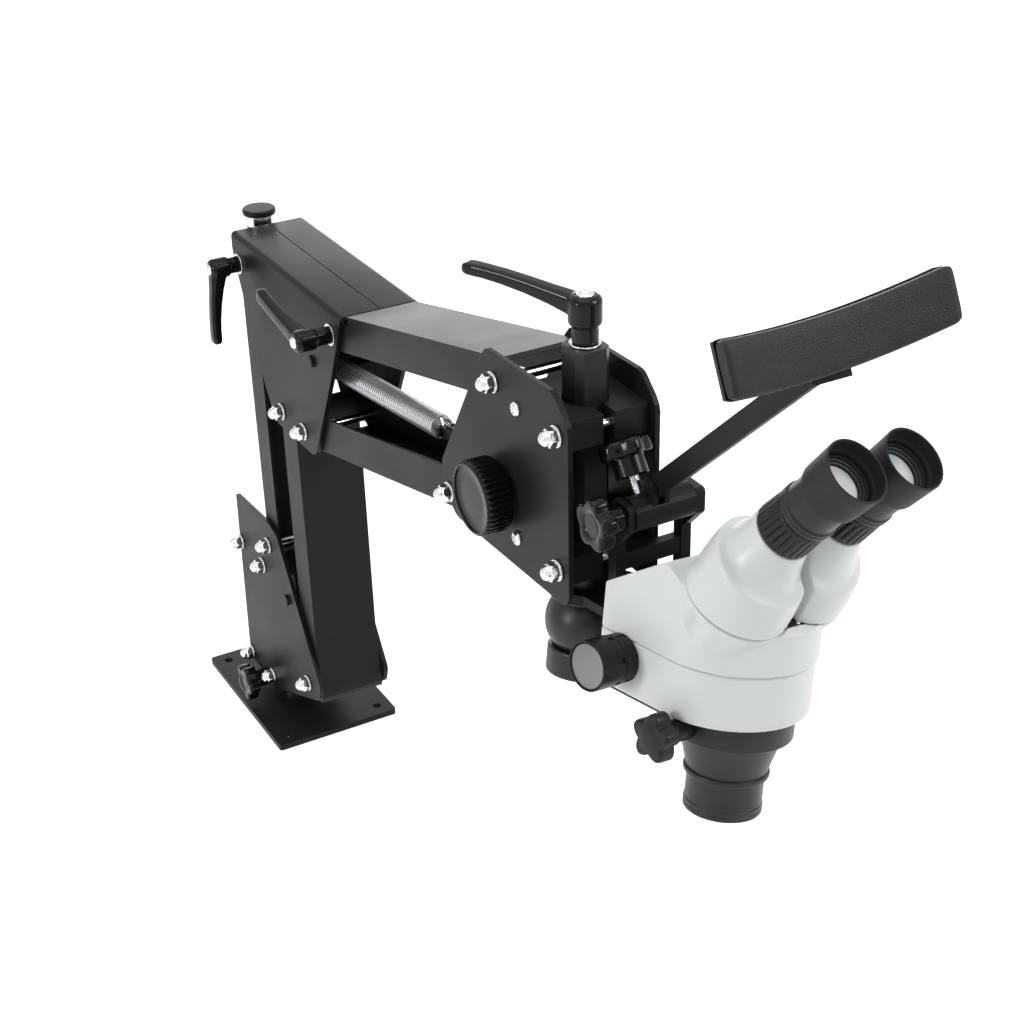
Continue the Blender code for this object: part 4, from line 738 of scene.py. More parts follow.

# %% [markdown]
# Objective, clamp ring and carrier
# The objective is a turned cone with a raised rim half way and a ring at its foot.
# The clamp ring closes round it with a knob at the near side, and its arm runs back to
# the cup that holds the ball.

# %% Objective and carrier
upright = TILTED @ Matrix.Translation((RING_X, 0, 0))
lens_body = turn("objective_body", eased([
    (0.0150, 0.3165), (0.0225, 0.3150), (0.0232, 0.3112), (0.0245, 0.3108),
    (0.0268, 0.3110), (0.0274, 0.3116), (0.0274, 0.3142), (0.0269, 0.3146),
    (0.0269, 0.3156), (0.0274, 0.3160), (0.0274, 0.3180), (0.0268, 0.3186),
    (0.0268, 0.3378), (0.0294, 0.3382), (0.0298, 0.3390), (0.0298, 0.3414),
    (0.0294, 0.3422), (0.0282, 0.3424), (0.0358, 0.3690), (0.0377, 0.3693),
    (0.0379, 0.3700), (0.0379, 0.3885)], 0.0004), upright, 128)
settle(lens_body, "microscope", "black_anodised", ANODISED, "objective")
front_lens = turn("objective_lens", [(0.0149, 0.3190), (0.0149, 0.3166), (0.0120, 0.3158),
                                     (0.0080, 0.3152), (0.0040, 0.3149), (0.0010, 0.3148)],
                  upright, 72)
settle(front_lens, "microscope", "black_anodised", LENS_REFLECTION)


def carrier_arm():
    """Flat arm with rounded ends from the cup to the ring."""
    half, low, high = 0.0150, 0.3625, 0.3675
    outline = []
    for k in range(13):
        a = math.radians(90 + 180 * k / 12)
        outline.append((0.598 + 0.012 * math.cos(a), half * math.sin(a)))
    outline += [(0.702, -half), (0.702, half)]
    rings = []
    for shrink, z in ((0.0006, low), (0.0, low + 0.0006), (0.0, high - 0.0006),
                      (0.0006, high)):
        rings.append([TILTED @ Vector((x, y * (1 - shrink / half), z)) for x, y in outline])
    return loft("arm", rings)


CUP_RADIUS = 0.0305
cup_at = TILTED @ Matrix.Translation((COLUMN_X, 0, 0))
CUP_DOME = [(CUP_RADIUS * math.cos(math.radians(a)),
             BALL_Z - CUP_RADIUS * math.sin(math.radians(a)))
            for a in (43, 48, 54, 60, 66, 72, 78, 84)]
cup = turn("cup", eased([(0.0040, 0.3560), (0.0240, 0.3560), (0.0262, 0.3566),
                         (0.0265, 0.3580), (0.0265, 0.3755), (0.0258, 0.3768),
                         (0.0236, 0.3770)], 0.0006)
           + CUP_DOME[1:] + [(0.0040, 0.3668)], cup_at, 96, closed=True)
ring = turn("ring", eased([(0.0383, 0.3706), (0.0390, 0.3700), (0.0420, 0.3700),
                           (0.0426, 0.3706), (0.0426, 0.3870), (0.0421, 0.3877),
                           (0.0388, 0.3877), (0.0383, 0.3872)], 0.0003), upright, 128,
            closed=True)
print("carrier parts ready")

# %% [markdown]
# Knobs and levers
# Star knobs have lobes with a soft crown and hollows between them. Their outline is a
# cosine wave round the axis, which gives the smooth in and out curves of a mould. Clamp
# levers are a hub with a tapering handle that bends away from it and a screw in its end.

# %% Star knobs
PLATE_OUTER = 0.0366
PLATE_FACE = PLATE_OUTER + 0.0003
STUD = 0.0040
REST_X, REST_Z = 0.645, 0.513


def star_outline(radius, depth, lobes, steps):
    """Outline with round lobes and rounder hollows."""
    points = []
    for i in range(steps):
        turned_by = 2 * math.pi * i / steps
        wave = 0.5 + 0.5 * math.cos(lobes * turned_by)
        size = radius - depth * (1 - wave ** 0.75)
        points.append((math.cos(turned_by), math.sin(turned_by), size))
    return points


def star_knob(name, at, radius, thick, stem_radius, stem_length, start, lobes=5, hollow=0.28,
              dish=0.0):
    """Lobed head on a round stem that begins at height start."""
    steps = lobes * 20
    outline = star_outline(radius, radius * hollow, lobes, steps)
    low = start + stem_length
    high = low + thick
    rings = []
    for r, h in ((stem_radius - 0.0006, start), (stem_radius, start + 0.0006),
                 (stem_radius, low - 0.0010), (stem_radius + 0.0008, low - 0.0001)):
        rings.append([at @ Vector((x * r, y * r, h)) for x, y, _ in outline])
    for scale, h in ((0.88, low), (0.95, low + 0.0004), (0.99, low + 0.0014),
                     (1.0, low + 0.0030), (1.0, high - 0.0034), (0.985, high - 0.0016),
                     (0.955, high - 0.0006), (0.91, high - 0.0001), (0.84, high)):
        rings.append([at @ Vector((x * s * scale, y * s * scale, h)) for x, y, s in outline])
    for r, h in ((0.50, high - dish * 0.2), (0.44, high - dish), (0.20, high - dish),
                 (0.02, high - dish)):
        rings.append([at @ Vector((x * r * radius, y * r * radius, h))
                      for x, y, _ in outline])
    return loft(name, rings)


def stud(name, at, radius, low, high):
    return turn(name, eased([(radius * 0.5, low), (radius * 0.8, low), (radius, low + 0.0006),
                             (radius, high), (radius * 0.5, high)], 0.0002), at, 32)


def threaded(name, at, radius, low, high, pitch=0.00125):
    """Screw thread shown as rolled crests, one per turn."""
    profile = [(radius * 0.5, low), (radius * 0.8, low)]
    for i in range(int((high - low) / pitch)):
        base = low + i * pitch
        profile += [(radius * 0.84, base + pitch * 0.1), (radius, base + pitch * 0.45),
                    (radius, base + pitch * 0.6), (radius * 0.84, base + pitch * 0.95)]
    profile += [(radius * 0.84, high), (radius * 0.5, high)]
    return turn(name, profile, at, 36)


def knob_with_stud(name, at, size, stem, start, lobes=5, hollow=0.28, dish=0.0):
    radius, thick = size
    head = star_knob("head", at, radius, thick, stem[0], stem[1], start, lobes, hollow, dish)
    return merged(name, head, stud("stud", at, STUD, 0.0, start + 0.001))


SIDE_KNOB_START = 0.0308
side_at = axis_frame((REST_X, 0.0200, REST_Z), (0, -1, 0))
knob = knob_with_stud("side_star_knob", side_at @ Matrix.Rotation(0.35, 4, "Z"),
                      (0.0193, 0.0125), (0.0092, 0.0112), SIDE_KNOB_START, 5, 0.22, 0.0012)
settle(knob, "rest_side_clamp", "knob_plastic", GLOSS, "rest_side_knob")

lock_dir = Vector((-0.57, 0, 0.82)).normalized()
lock_at = axis_frame(Vector((REST_X, 0.0085, REST_Z)) + lock_dir * 0.006, lock_dir)
knob = star_knob("lock_star_knob", lock_at, 0.0192, 0.0110, 0.0118, 0.0138, 0.0185, 5, 0.22,
                 0.0030)
settle(knob, "rest_lock", "knob_plastic", GLOSS, "rest_lock_knob")
screw = threaded("lock_stud", lock_at, STUD, 0.0, 0.0256)
settle(screw, "rest_lock", "zinc", ZINC)

ring_knob_at = TILTED @ axis_frame((RING_X - 0.001, -0.0385, 0.380), (0, -1, 0))
knob = knob_with_stud("ring_star_knob", ring_knob_at @ Matrix.Rotation(0.3, 4, "Z"),
                      (0.0172, 0.0135), (0.0080, 0.0205), 0.0050, 5, 0.30, -0.0006)
settle(knob, "ring_clamp", "knob_matte", MATTE, "ring_knob")

swivel_at = axis_frame((0.002, -0.014, 0.029), (0, -1, 0))
knob = knob_with_stud("swivel_star_knob", swivel_at, (0.0195, 0.0120), (0.0090, 0.0153),
                      PLATE_FACE - 0.014, 5, 0.28, 0.0010)
settle(knob, "base_clamp", "knob_plastic", GLOSS, "swivel_knob")
print("star knobs ready")

# %% Balance knob
FLUTES = 40
knob_at = axis_frame((0.5246, PLATE_FACE, 0.4857), (0, -1, 0))
knob_start = PLATE_OUTER * 2 + 0.004


def fluted_head(name, at, radius, length, flutes, depth, start):
    """Round grip with close flutes and a plain disc let into its face."""
    steps = flutes * 8
    rings = []

    def ring(scale, height, ribbing):
        out = []
        for i, (x, y) in enumerate(circle(1.0, steps)):
            dip = (0.5 - 0.5 * math.cos(2 * math.pi * (i % 8) / 8)) ** 1.5
            size = radius * scale - depth * ribbing * dip
            out.append(at @ Vector((x * size, y * size, start + height)))
        return out

    rings.append(ring(0.40, 0.0, 0))
    for scale, h, ribbing in ((0.90, 0.0, 0), (0.95, 0.0004, 0.3), (0.985, 0.0014, 1.0),
                              (0.99, 0.0030, 1.0), (1.0, length - 0.0034, 1.0),
                              (0.985, length - 0.0016, 1.0), (0.955, length - 0.0005, 0.5),
                              (0.925, length, 0), (0.885, length, 0),
                              (0.875, length - 0.0004, 0),
                              (0.870, length - 0.0018, 0), (0.860, length - 0.0020, 0),
                              (0.50, length - 0.0017, 0), (0.02, length - 0.0016, 0)):
        rings.append(ring(scale, h, ribbing))
    return loft(name, rings)


head = fluted_head("head", knob_at, 0.0285, 0.0215, FLUTES, 0.0016, knob_start)
knob = merged("balance_grip", head, stud("stud", knob_at, STUD, 0.0, knob_start + 0.001))
settle(knob, "balance_knob", "knob_plastic", GLOSS, "spring_knob")
print("balance knob", len(knob.data.polygons))

# %% Tension knob
foot = 0.5233
TAB_TOP = 0.5175
tension_at = axis_frame((-0.004, 0, 0), (0, 0, 1))
cap = turn("tension_cap", eased([
    (0.0060, foot + 0.0040), (0.0144, foot + 0.0040), (0.0153, foot + 0.0045),
    (0.0155, foot + 0.0060), (0.0155, foot + 0.0084), (0.0150, foot + 0.0094),
    (0.0138, foot + 0.0097), (0.0010, foot + 0.0097)], 0.0004), tension_at, 96)
settle(cap, "tension", "knob_plastic", COAT, "tension_knob")
barrel = turn("tension_barrel", eased([
    (0.0042, TAB_TOP + 0.0003), (0.0138, TAB_TOP + 0.0003), (0.0140, TAB_TOP + 0.0006),
    (0.0140, foot + 0.0039), (0.0042, foot + 0.0039)], 0.0002), tension_at, 96)
settle(barrel, "tension", "zinc", ZINC)
pull = threaded("tension_pull_screw", tension_at, STUD, foot - 0.048, foot + 0.0002)
settle(pull, "tension", "zinc", ZINC)


# %% Clamp levers
def lever_handle(at, hub_radius, top, hub_length, length, lift, angle):
    """Tapering handle with a soft oval section, fuller at its tip."""
    bend = Matrix.Rotation(angle, 4, "Z")
    mid = top - hub_length * 0.42
    rings = []
    stations = ((0.0, 0.0074, 0.0078), (0.12, 0.0068, 0.0070), (0.25, 0.0062, 0.0060),
                (0.45, 0.0059, 0.0052), (0.65, 0.0058, 0.0047), (0.82, 0.0058, 0.0044),
                (0.90, 0.0062, 0.0044), (0.96, 0.0060, 0.0042), (0.99, 0.0050, 0.0034),
                (1.0, 0.0040, 0.0026))
    reach = length - hub_radius * 0.35
    for share, wide, thick in stations:
        along = hub_radius * 0.35 + reach * share
        height = mid + lift * math.sin(share * math.pi / 2)
        ring = []
        for k in range(36):
            a = 2 * math.pi * k / 36
            c, s = math.cos(a), math.sin(a)
            ring.append(at @ bend @ Vector((
                along, wide * math.copysign(abs(c) ** 0.42, c),
                height + thick * math.copysign(abs(s) ** 0.42, s))))
        rings.append(ring)
    return loft("handle", rings)


def clamp_lever(name, at, stud_length, neck, hub, length, lift, angle):
    neck_radius, neck_length = neck
    hub_radius, hub_length = hub
    top = stud_length + neck_length + hub_length
    low = stud_length + neck_length
    body = turn("hub", eased([
        (neck_radius - 0.0006, stud_length), (neck_radius, stud_length + 0.0006),
        (neck_radius, low), (hub_radius - 0.0004, low + 0.0016), (hub_radius, low + 0.0026),
        (hub_radius, top - 0.0034), (hub_radius * 0.86, top - 0.0010),
        (hub_radius * 0.66, top), (hub_radius * 0.58, top), (hub_radius * 0.56, top - 0.0012),
        (0.0006, top - 0.0012)], 0.0006), at, 64)
    handle = lever_handle(at, hub_radius, top, hub_length, length, lift, angle)
    lever = cast(name, [body, handle], 0.0007, 4)
    screw = turn(name + "_screw", eased([
        (0.0030, top - 0.0014), (hub_radius * 0.54, top - 0.0012),
        (hub_radius * 0.54, top + 0.0006), (hub_radius * 0.40, top + 0.0020),
        (hub_radius * 0.22, top + 0.0023), (hub_radius * 0.20, top + 0.0012),
        (0.0004, top + 0.0012)], 0.0003), at, 40)
    rod = stud(name + "_rod", at, STUD, 0.0, stud_length + 0.001)
    return lever, merged(name + "_screws", screw, rod)


LEVERS = (
    ("post_lever", "lever_of_posts", (0.0295, 0.496), 0.010, -84, 0.070, 0.010),
    ("elbow_lever", "lever_of_bars", (0.231, 0.500), 0.014, 166, 0.076, 0.006),
)
lever_stud = PLATE_OUTER * 2 + 0.0003 + 0.006
for node, body, place, neck_length, angle, length, lift in LEVERS:
    at = axis_frame((place[0], PLATE_OUTER + 0.006, place[1]), (0, -1, 0))
    lever, screws = clamp_lever(node + "_moulding", at, lever_stud, (0.0075, neck_length),
                                (0.0095, 0.019), length, lift, math.radians(angle))
    settle(lever, body, "knob_plastic", GLOSS, node)
    settle(screws, body, "zinc", ZINC)
    washer = turn(node + "_washer", eased([
        (0.0078, lever_stud - 0.0001), (0.0096, lever_stud - 0.0001),
        (0.0096, lever_stud + 0.0013), (0.0078, lever_stud + 0.0013)], 0.0003), at, 48,
        closed=True)
    settle(washer, "elbow", "zinc", ZINC)
top_at = axis_frame((COLUMN_X, 0, 0.6171 - 0.030), (0, 0, 1))
lever, screws = clamp_lever("column_lever_moulding", top_at, 0.030, (0.0094, 0.012),
                            (0.0118, 0.022), 0.095, 0.012, math.radians(210))
settle(lever, "lever_of_neck", "knob_plastic", GLOSS, "column_lever")
settle(screws, "lever_of_neck", "zinc", ZINC)
print("levers ready")

# %% [markdown]
# Zoom knobs
# Each zoom knob is a plain drum in two segments. The inner one has shallow grip slots and
# a set screw, and the end face is gently domed.

# %% Zoom knobs
for word, side in (("near", -1), ("far", 1)):
    at = TILTED @ axis_frame((0.680, side * (SHELL_HALF - 0.008), 0.414), (0, side, 0))
    face = 0.0083
    end = 0.089 - SHELL_HALF + 0.008
    drum = turn("drum", eased([
        (0.0052, 0.0), (0.0052, face), (0.0165, face), (0.0171, face + 0.0006),
        (0.0171, face + 0.0098), (0.0167, face + 0.0102), (0.0161, face + 0.0104),
        (0.0161, face + 0.0112), (0.0169, face + 0.0114), (0.0175, face + 0.0120),
        (0.0175, end - 0.0012), (0.0171, end - 0.0003), (0.0164, end - 0.0002),
        (0.0161, end - 0.0012), (0.0156, end - 0.0022), (0.0005, end - 0.0022)], 0.0003),
        at, 128)
    cap = turn("zoom_end_cap_" + word, eased([
        (0.0005, end - 0.0020), (0.0150, end - 0.0020), (0.0155, end - 0.0015),
        (0.0154, end - 0.0011), (0.0120, end - 0.0007), (0.0080, end - 0.0003),
        (0.0040, end - 0.0001), (0.0005, end)], 0.0003), at, 96)
    settle(cap, "zoom_" + word, "knob_plastic", END_CAP)
    slots = []
    for k in range(6):
        turned_by = math.radians(60 * k + 22)
        spot = at @ Matrix.Rotation(turned_by, 4, "Z")
        for low, high in ((face + 0.0006, face + 0.0086), (face + 0.0128, face + 0.0170)):
            slots.append(block("slot", (0.0164, -0.0019, low), (0.0190, 0.0019, high), spot))
    hole_at = at @ Matrix.Rotation(math.radians(100), 4, "Z")
    hole = turn("hole", [(0.0016, 0.0), (0.0016, 0.02)],
                hole_at @ Matrix.Translation((0.011, 0, face + 0.0148))
                @ Matrix.Rotation(math.radians(90), 4, "Y"), 24)
    drum = carved(drum, merged("cutter", hole, *slots))
    drum.name = "zoom_drum_" + word
    settle(drum, "zoom_" + word, "knob_plastic", MATTE, "zoom_knob_" + word)
print("zoom knobs ready")

# %% [markdown]
# Fasteners and springs
# The stand is held together by through bolts, with a domed nut on the near
# side and a low hex head on the far side. The springs are
# close wound, so the visible coils are many more than the CAD needs.

# %% Domed nuts
BOLTS = {
    "swivel_block_low_bolt_rear": ("bracket", (-0.038, 0.0370)),
    "swivel_block_low_bolt_front": ("bracket", (0.018, 0.0385)),
    "swivel_block_up_bolt_rear": ("bracket", (-0.038, 0.1710)),
    "swivel_block_up_bolt_front": ("bracket", (0.018, 0.1705)),
    "rear_post_bolt_low": ("bracket", (0.038, 0.203)),
    "front_post_bolt_low": ("bracket", (0.115, 0.0845)),
    "front_post_bolt_top": ("elbow", (0.1065, 0.3775)),
    "lower_bar_bolt_rear": ("elbow", (0.156, 0.378)),
    "column_block_up_bolt": ("head", (0.6065, 0.5649)),
    "column_block_low_bolt": ("head", (0.6065, 0.4606)),
    "upper_bar_bolt_front": ("head", (0.518, 0.570)),
    "lower_bar_bolt_front": ("head", (0.443, 0.448)),
}
HEX_FLAT = 0.0065
HEX_STEPS = 72
WASHER_TOP = 0.0016
DOME_FOOT, DOME_RADIUS = 0.0065, 0.0056


def washer_under(at, face):
    return turn("washer", eased([
        (0.0040, face), (0.0079, face), (0.0080, face + 0.0002), (0.0080, face + 0.0014),
        (0.0078, face + WASHER_TOP), (0.0040, face + WASHER_TOP)], 0.0002), at, 64)


def hexagon(at, height, limit):
    """Hexagonal outline whose corners are turned down to a radius."""
    ring = []
    for i in range(HEX_STEPS):
        a = 2 * math.pi * i / HEX_STEPS
        near = (a % (math.pi / 3)) - math.pi / 6
        size = min(HEX_FLAT / math.cos(near), limit)
        ring.append(at @ Vector((size * math.cos(a), size * math.sin(a), height)))
    return ring


def domed_nut(at, face):
    """Washer and domed nut: a chamfered hexagon that runs up into a ball."""
    base = face + WASHER_TOP
    rings = [hexagon(at, base + h, limit) for limit, h in (
        (0.0068, 0.0), (0.0072, 0.0004), (0.0072, 0.0052), (0.0069, 0.0058),
        (0.0064, 0.0063), (0.0059, 0.0065))]
    for degrees in (4, 16, 30, 44, 58, 72, 84, 89):
        a = math.radians(degrees)
        rings.append([at @ Vector((x, y, base + DOME_FOOT + DOME_RADIUS * math.sin(a)))
                      for x, y in circle(DOME_RADIUS * math.cos(a), HEX_STEPS)])
    return [washer_under(at, face), loft("nut", rings)]


def hex_head(at, face):
    """Washer and the low chamfered head at the other end of a bolt."""
    base = face + WASHER_TOP
    rings = [hexagon(at, base + h, limit) for limit, h in (
        (0.0070, 0.0), (0.0073, 0.0003), (0.0073, 0.0034), (0.0068, 0.0038),
        (0.0060, 0.0040))]
    return [washer_under(at, face), loft("head", rings)]


for name, (body, place) in BOLTS.items():
    low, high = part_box(name)
    parts = []
    if high[1] > PLATE_OUTER + 0.004:
        parts += hex_head(axis_frame((place[0], 0, place[1]), (0, 1, 0)), PLATE_FACE)
    if low[1] < -PLATE_OUTER - 0.004:
        parts += domed_nut(axis_frame((place[0], 0, place[1]), (0, -1, 0)), PLATE_FACE)
    half = PLATE_OUTER + 0.0006
    parts.append(turn("shank", [(STUD, -half), (STUD, half)],
                      axis_frame((place[0], 0, place[1]), (0, 1, 0)), 32))
    settle(merged(name + "_zinc", *parts), body, "zinc", ZINC, name)
print("bolts", len(BOLTS))


# %% Springs
def coil_spring(name, start, end, coils, radius, wire, loop):
    """Close wound coils between two hooks that pass round their pins."""
    axis = (end - start).normalized()
    length = (end - start).length
    side = Vector((0, 1, 0))
    side = (side - axis * side.dot(axis)).normalized()
    up = axis.cross(side)
    lead = loop + radius * 0.45
    path = []
    for k in range(13):
        a = math.radians(-70 + 250 * k / 12)
        path.append(start - axis * (loop * math.cos(a)) + up * (loop * math.sin(a)))
    steps = 16
    total = coils * steps
    for k in range(total + 1):
        a = 2 * math.pi * k / steps + math.pi / 2
        grow = min(1.0, k / 6, (total - k) / 6) * 0.15 + 0.85
        along = lead + (length - 2 * lead) * k / total
        path.append(start + axis * along + up * (radius * grow * math.sin(a))
                    + side * (radius * grow * math.cos(a)))
    for k in range(13):
        a = math.radians(180 - 250 * k / 12)
        path.append(end + axis * (loop * math.cos(a)) + up * (loop * math.sin(a)))
    rings = []
    for i, point in enumerate(path):
        ahead = (path[min(i + 1, len(path) - 1)] - path[max(i - 1, 0)]).normalized()
        if i == 0:
            across = side.copy()
        across = (across - ahead * across.dot(ahead)).normalized()
        other = ahead.cross(across)
        rings.append([point + across * c + other * s for c, s in circle(wire, 8)])
    return loft(name, rings)


boom = coil_spring("boom_coils", Vector((0.150, 0, 0.431)), Vector((0.370, 0, 0.460)), 54,
                   0.0090, 0.00128, 0.0053)
settle(boom, "balance_link", "spring_steel", WIRE, "boom_spring")
post = coil_spring("post_coils", Vector((-0.004, 0, 0.196)), Vector((-0.004, 0, 0.4793)), 70,
                   0.0088, 0.0012, 0.0032)
settle(post, "spring_of_posts", "spring_steel", WIRE, "post_spring")
print("springs", len(boom.data.polygons), len(post.data.polygons))

# %% [markdown]
# The elbow's hood
# Two folded halves meet in a fine seam on top. Their long edges have the soft outer
# radius that a press brake leaves, which a shading trick alone would not show in outline.

# %% Hood of the elbow
HOOD_TOP, HOOD_REAR, HOOD_FRONT = 0.523, 0.015, 0.2534
FOLD_RADIUS = 0.0048
HOOD_CORNERS = [
    (HOOD_REAR, HOOD_TOP, 0.0012), (HOOD_FRONT, HOOD_TOP, 0.0012), (0.2275, 0.4600, 0.012),
    (0.1780, 0.3615, 0.010), (0.0880, 0.3600, 0.010), (0.0640, 0.3970, 0.010),
    (0.0225, 0.4860, 0.005), (HOOD_REAR, 0.5060, 0.003)]


def rounded_outline(corners, steps=6):
    """Closed outline whose corners are cut back by a reach and bridged by a curve."""
    points = []
    count = len(corners)
    for i, (x, z, reach) in enumerate(corners):
        here = Vector((x, z))
        before = Vector(corners[i - 1][:2]) - here
        after = Vector(corners[(i + 1) % count][:2]) - here
        start = here + before.normalized() * reach
        end = here + after.normalized() * reach
        for k in range(steps + 1):
            t = k / steps
            points.append(start.lerp(here, t).lerp(here.lerp(end, t), t))
    return points


hood_outline = rounded_outline(HOOD_CORNERS)
hood_rings = []
for side in (-1, 1):
    depths = [FOLD_RADIUS * (1 - math.cos(math.radians(a))) for a in (0, 22, 45, 60, 75, 90)]
    for depth in depths if side < 0 else reversed(depths):
        lost = FOLD_RADIUS - depth
        drop = FOLD_RADIUS - math.sqrt(max(0.0, FOLD_RADIUS ** 2 - lost ** 2))
        hood_rings.append([(p.x, side * (PLATE_OUTER - depth), min(p.y, HOOD_TOP - drop))
                           for p in hood_outline])
hood = loft("hood", hood_rings)
pocket = block("pocket", (-0.2, -0.0326, 0.2), (0.5, 0.0326, HOOD_TOP - 0.004))
seam = block("seam", (-0.1, -0.0005, HOOD_TOP - 0.0014), (0.4, 0.0005, 0.6))
hood = carved(hood, merged("cutter", pocket, seam))
tab = loft("tab", [[Vector((x, y, z)) for x, y in
                    ((0.0175, -0.0105), (0.0175, 0.0105), (-0.0120, 0.0105), (-0.0170, 0.0060),
                     (-0.0170, -0.0060), (-0.0120, -0.0105))]
                   for z in (TAB_TOP - 0.0040, TAB_TOP)])
riser = block("riser", (0.0160, -0.0105, TAB_TOP - 0.0040),
              (0.0195, 0.0105, HOOD_TOP - 0.0005))
pins = [turn("anchor", [(0.0035, -0.0340), (0.0035, 0.0340)],
             axis_frame((0.150, 0, 0.431), (0, 1, 0)), 40)]
for side in (-1, 1):
    pins.append(turn("stop", eased([
        (0.0010, 0.0150), (0.0032, 0.0150), (0.0035, 0.0154), (0.0035, PLATE_OUTER),
        (0.0055, PLATE_OUTER), (0.0055, PLATE_OUTER + 0.0022), (0.0048, PLATE_OUTER + 0.0030),
        (0.0010, PLATE_OUTER + 0.0030)], 0.0003),
        axis_frame((0.1868, 0, 0.4586), (0, side, 0)), 40))
hood = merged("folded_hood", hood, tab, riser, *pins)
settle(hood, "elbow", "powder_coat", COAT, "elbow_hood")
print("hood", len(hood.data.polygons))

# %% [markdown]
# Post, ball and column
# The swivel post is a turned and plated shaft on a flange. The ball is satin black and the
# neck above it is turned, with the square column standing on it.

# %% Turned posts
post = turn("turned_swivel_post", eased([
    (0.0005, 0.0063), (0.0256, 0.0063), (0.0260, 0.0067), (0.0260, 0.0107), (0.0255, 0.0113),
    (0.0122, 0.0113), (0.0110, 0.0125), (0.0110, 0.1770), (0.0104, 0.1780),
    (0.0005, 0.1780)], 0.0005), axis_frame((-0.010, 0, 0), (0, 0, 1)), 96)
settle(post, "base", "zinc", ZINC, "swivel_post")
angles = [math.radians(82 - 164 * k / 40) for k in range(41)]
ball = turn("polished_ball", [(0.030 * math.cos(a), 0.030 * math.sin(a)) for a in angles],
            axis_frame(BALL_CENTRE, (0, 0, 1)), 96)
settle(ball, "ball_piece", "black_anodised", ANODISED, "ball")
washer = turn("nylon_washer", eased([
    (0.0052, 0.6153), (0.0110, 0.6153), (0.0112, 0.6156), (0.0112, 0.6166),
    (0.0110, 0.6168), (0.0052, 0.6168)], 0.0002), axis_frame((COLUMN_X, 0, 0), (0, 0, 1)), 64,
    closed=True)
settle(washer, "neck", "white_nylon", ZINC, "column_washer")


def column_section(half, chamfer, z):
    side = half - chamfer
    return [Vector((COLUMN_X + x, y, z)) for x, y in (
        (half, -side), (half, side), (side, half), (-side, half),
        (-half, side), (-half, -side), (-side, -half), (side, -half))]


COLUMN_HALF, COLUMN_CHAMFER, COLUMN_TOP = 0.0135, 0.0047, 0.6150
shaft = loft("shaft", [column_section(COLUMN_HALF - s, COLUMN_CHAMFER - s * 0.6, z)
                       for s, z in ((0.0, 0.4285), (0.0, COLUMN_TOP - 0.0008),
                                    (0.0008, COLUMN_TOP))])
upright_column = axis_frame((COLUMN_X, 0, 0), (0, 0, 1))
collar = turn("collar", eased([(0.0120, 0.4326), (0.0206, 0.4326), (0.0210, 0.4330),
                               (0.0210, 0.4490), (0.0206, 0.4493), (0.0120, 0.4493)],
                              0.0004), upright_column, 72)
ball_neck = turn("neck", eased([(0.0010, 0.4280), (0.0090, 0.4266), (0.0150, 0.4240),
                                (0.0190, 0.4214), (0.0212, 0.4198), (0.0222, 0.4206),
                                (0.0240, 0.4218), (0.0268, 0.4222), (0.0274, 0.4228),
                                (0.0275, 0.4240), (0.0268, 0.4246), (0.0200, 0.4300),
                                (0.0010, 0.4330)], 0.0003), upright_column, 96)
column = merged("column_and_neck", shaft, collar, ball_neck)
settle(column, "neck", "black_anodised", ANODISED, "column")
for place in ((0.5507, 0.5622), (0.5488, 0.4583)):
    at = axis_frame((place[0], -PLATE_OUTER, place[1]), (0, -1, 0))
    screw = turn("plate_button_screw", eased([
        (0.0010, -0.0010), (0.0050, -0.0010), (0.0056, 0.0004), (0.0054, 0.0016),
        (0.0044, 0.0026), (0.0030, 0.0031), (0.0026, 0.0031), (0.0024, 0.0014),
        (0.0003, 0.0014)], 0.0003), at, 48)
    settle(screw, "head", "zinc", ZINC)
print("posts ready")

# %% Carrier
bar = carrier_arm()
boss = loft("boss", [[TILTED @ Vector((x, y, z)) for x, y in
                      ((0.686, -0.015), (0.6948, -0.015), (0.6948, 0.015), (0.686, 0.015))]
                     for z in (0.3632, 0.3874)])
carrier = merged("cup_arm_and_ring", cup, ring, bar, boss)
settle(carrier, "carrier", "black_anodised", ANODISED, "ball_cup")
nut = turn("cup_nut", eased([(0.0010, 0.3476), (0.0030, 0.3480), (0.0050, 0.3496),
                             (0.0058, 0.3520), (0.0058, 0.3545), (0.0074, 0.3548),
                             (0.0074, 0.3562), (0.0010, 0.3562)], 0.0004), cup_at, 48)
settle(nut, "carrier", "zinc", ZINC)
print("carrier", len(carrier.data.polygons))

# %% [markdown]
# The forehead rest
# The rest is soft goods: a padded bar covered in grained sheet, bowed so its ends reach
# forward. Its cover is pulled round a firm core, so the faces crown and the corners stay
# round.

# %% Pad
pad_lean = math.radians(26)
pad_out = Vector((math.cos(pad_lean), 0, math.sin(pad_lean)))
pad_up = Vector((-math.sin(pad_lean), 0, math.cos(pad_lean)))
arm_angle = math.radians(42.6)
ARM_REACH, ARM_FOOT_Z = 0.232, 0.527
arm_end = Vector((REST_X + ARM_REACH * math.cos(arm_angle), 0,
                  ARM_FOOT_Z + ARM_REACH * math.sin(arm_angle)))
pad_centre = arm_end + Vector((0.0012, 0.0213, 0.0143)) + pad_out * 0.009
PAD_HALF, PAD_HEIGHT, PAD_THICK, PAD_BOW = 0.080, 0.034, 0.012, 0.008
PAD_TIP, PAD_SAG = 0.0054, 0.0063
BOARD_THICK, BOARD_RIM = 0.0022, 0.0008


def pad_bend(share):
    """How far the rest reaches forward and up at a share of its half length."""
    forward = PAD_BOW * share * share
    return pad_out * forward + Vector((0, 0, PAD_SAG * share * share - PAD_TIP * share))


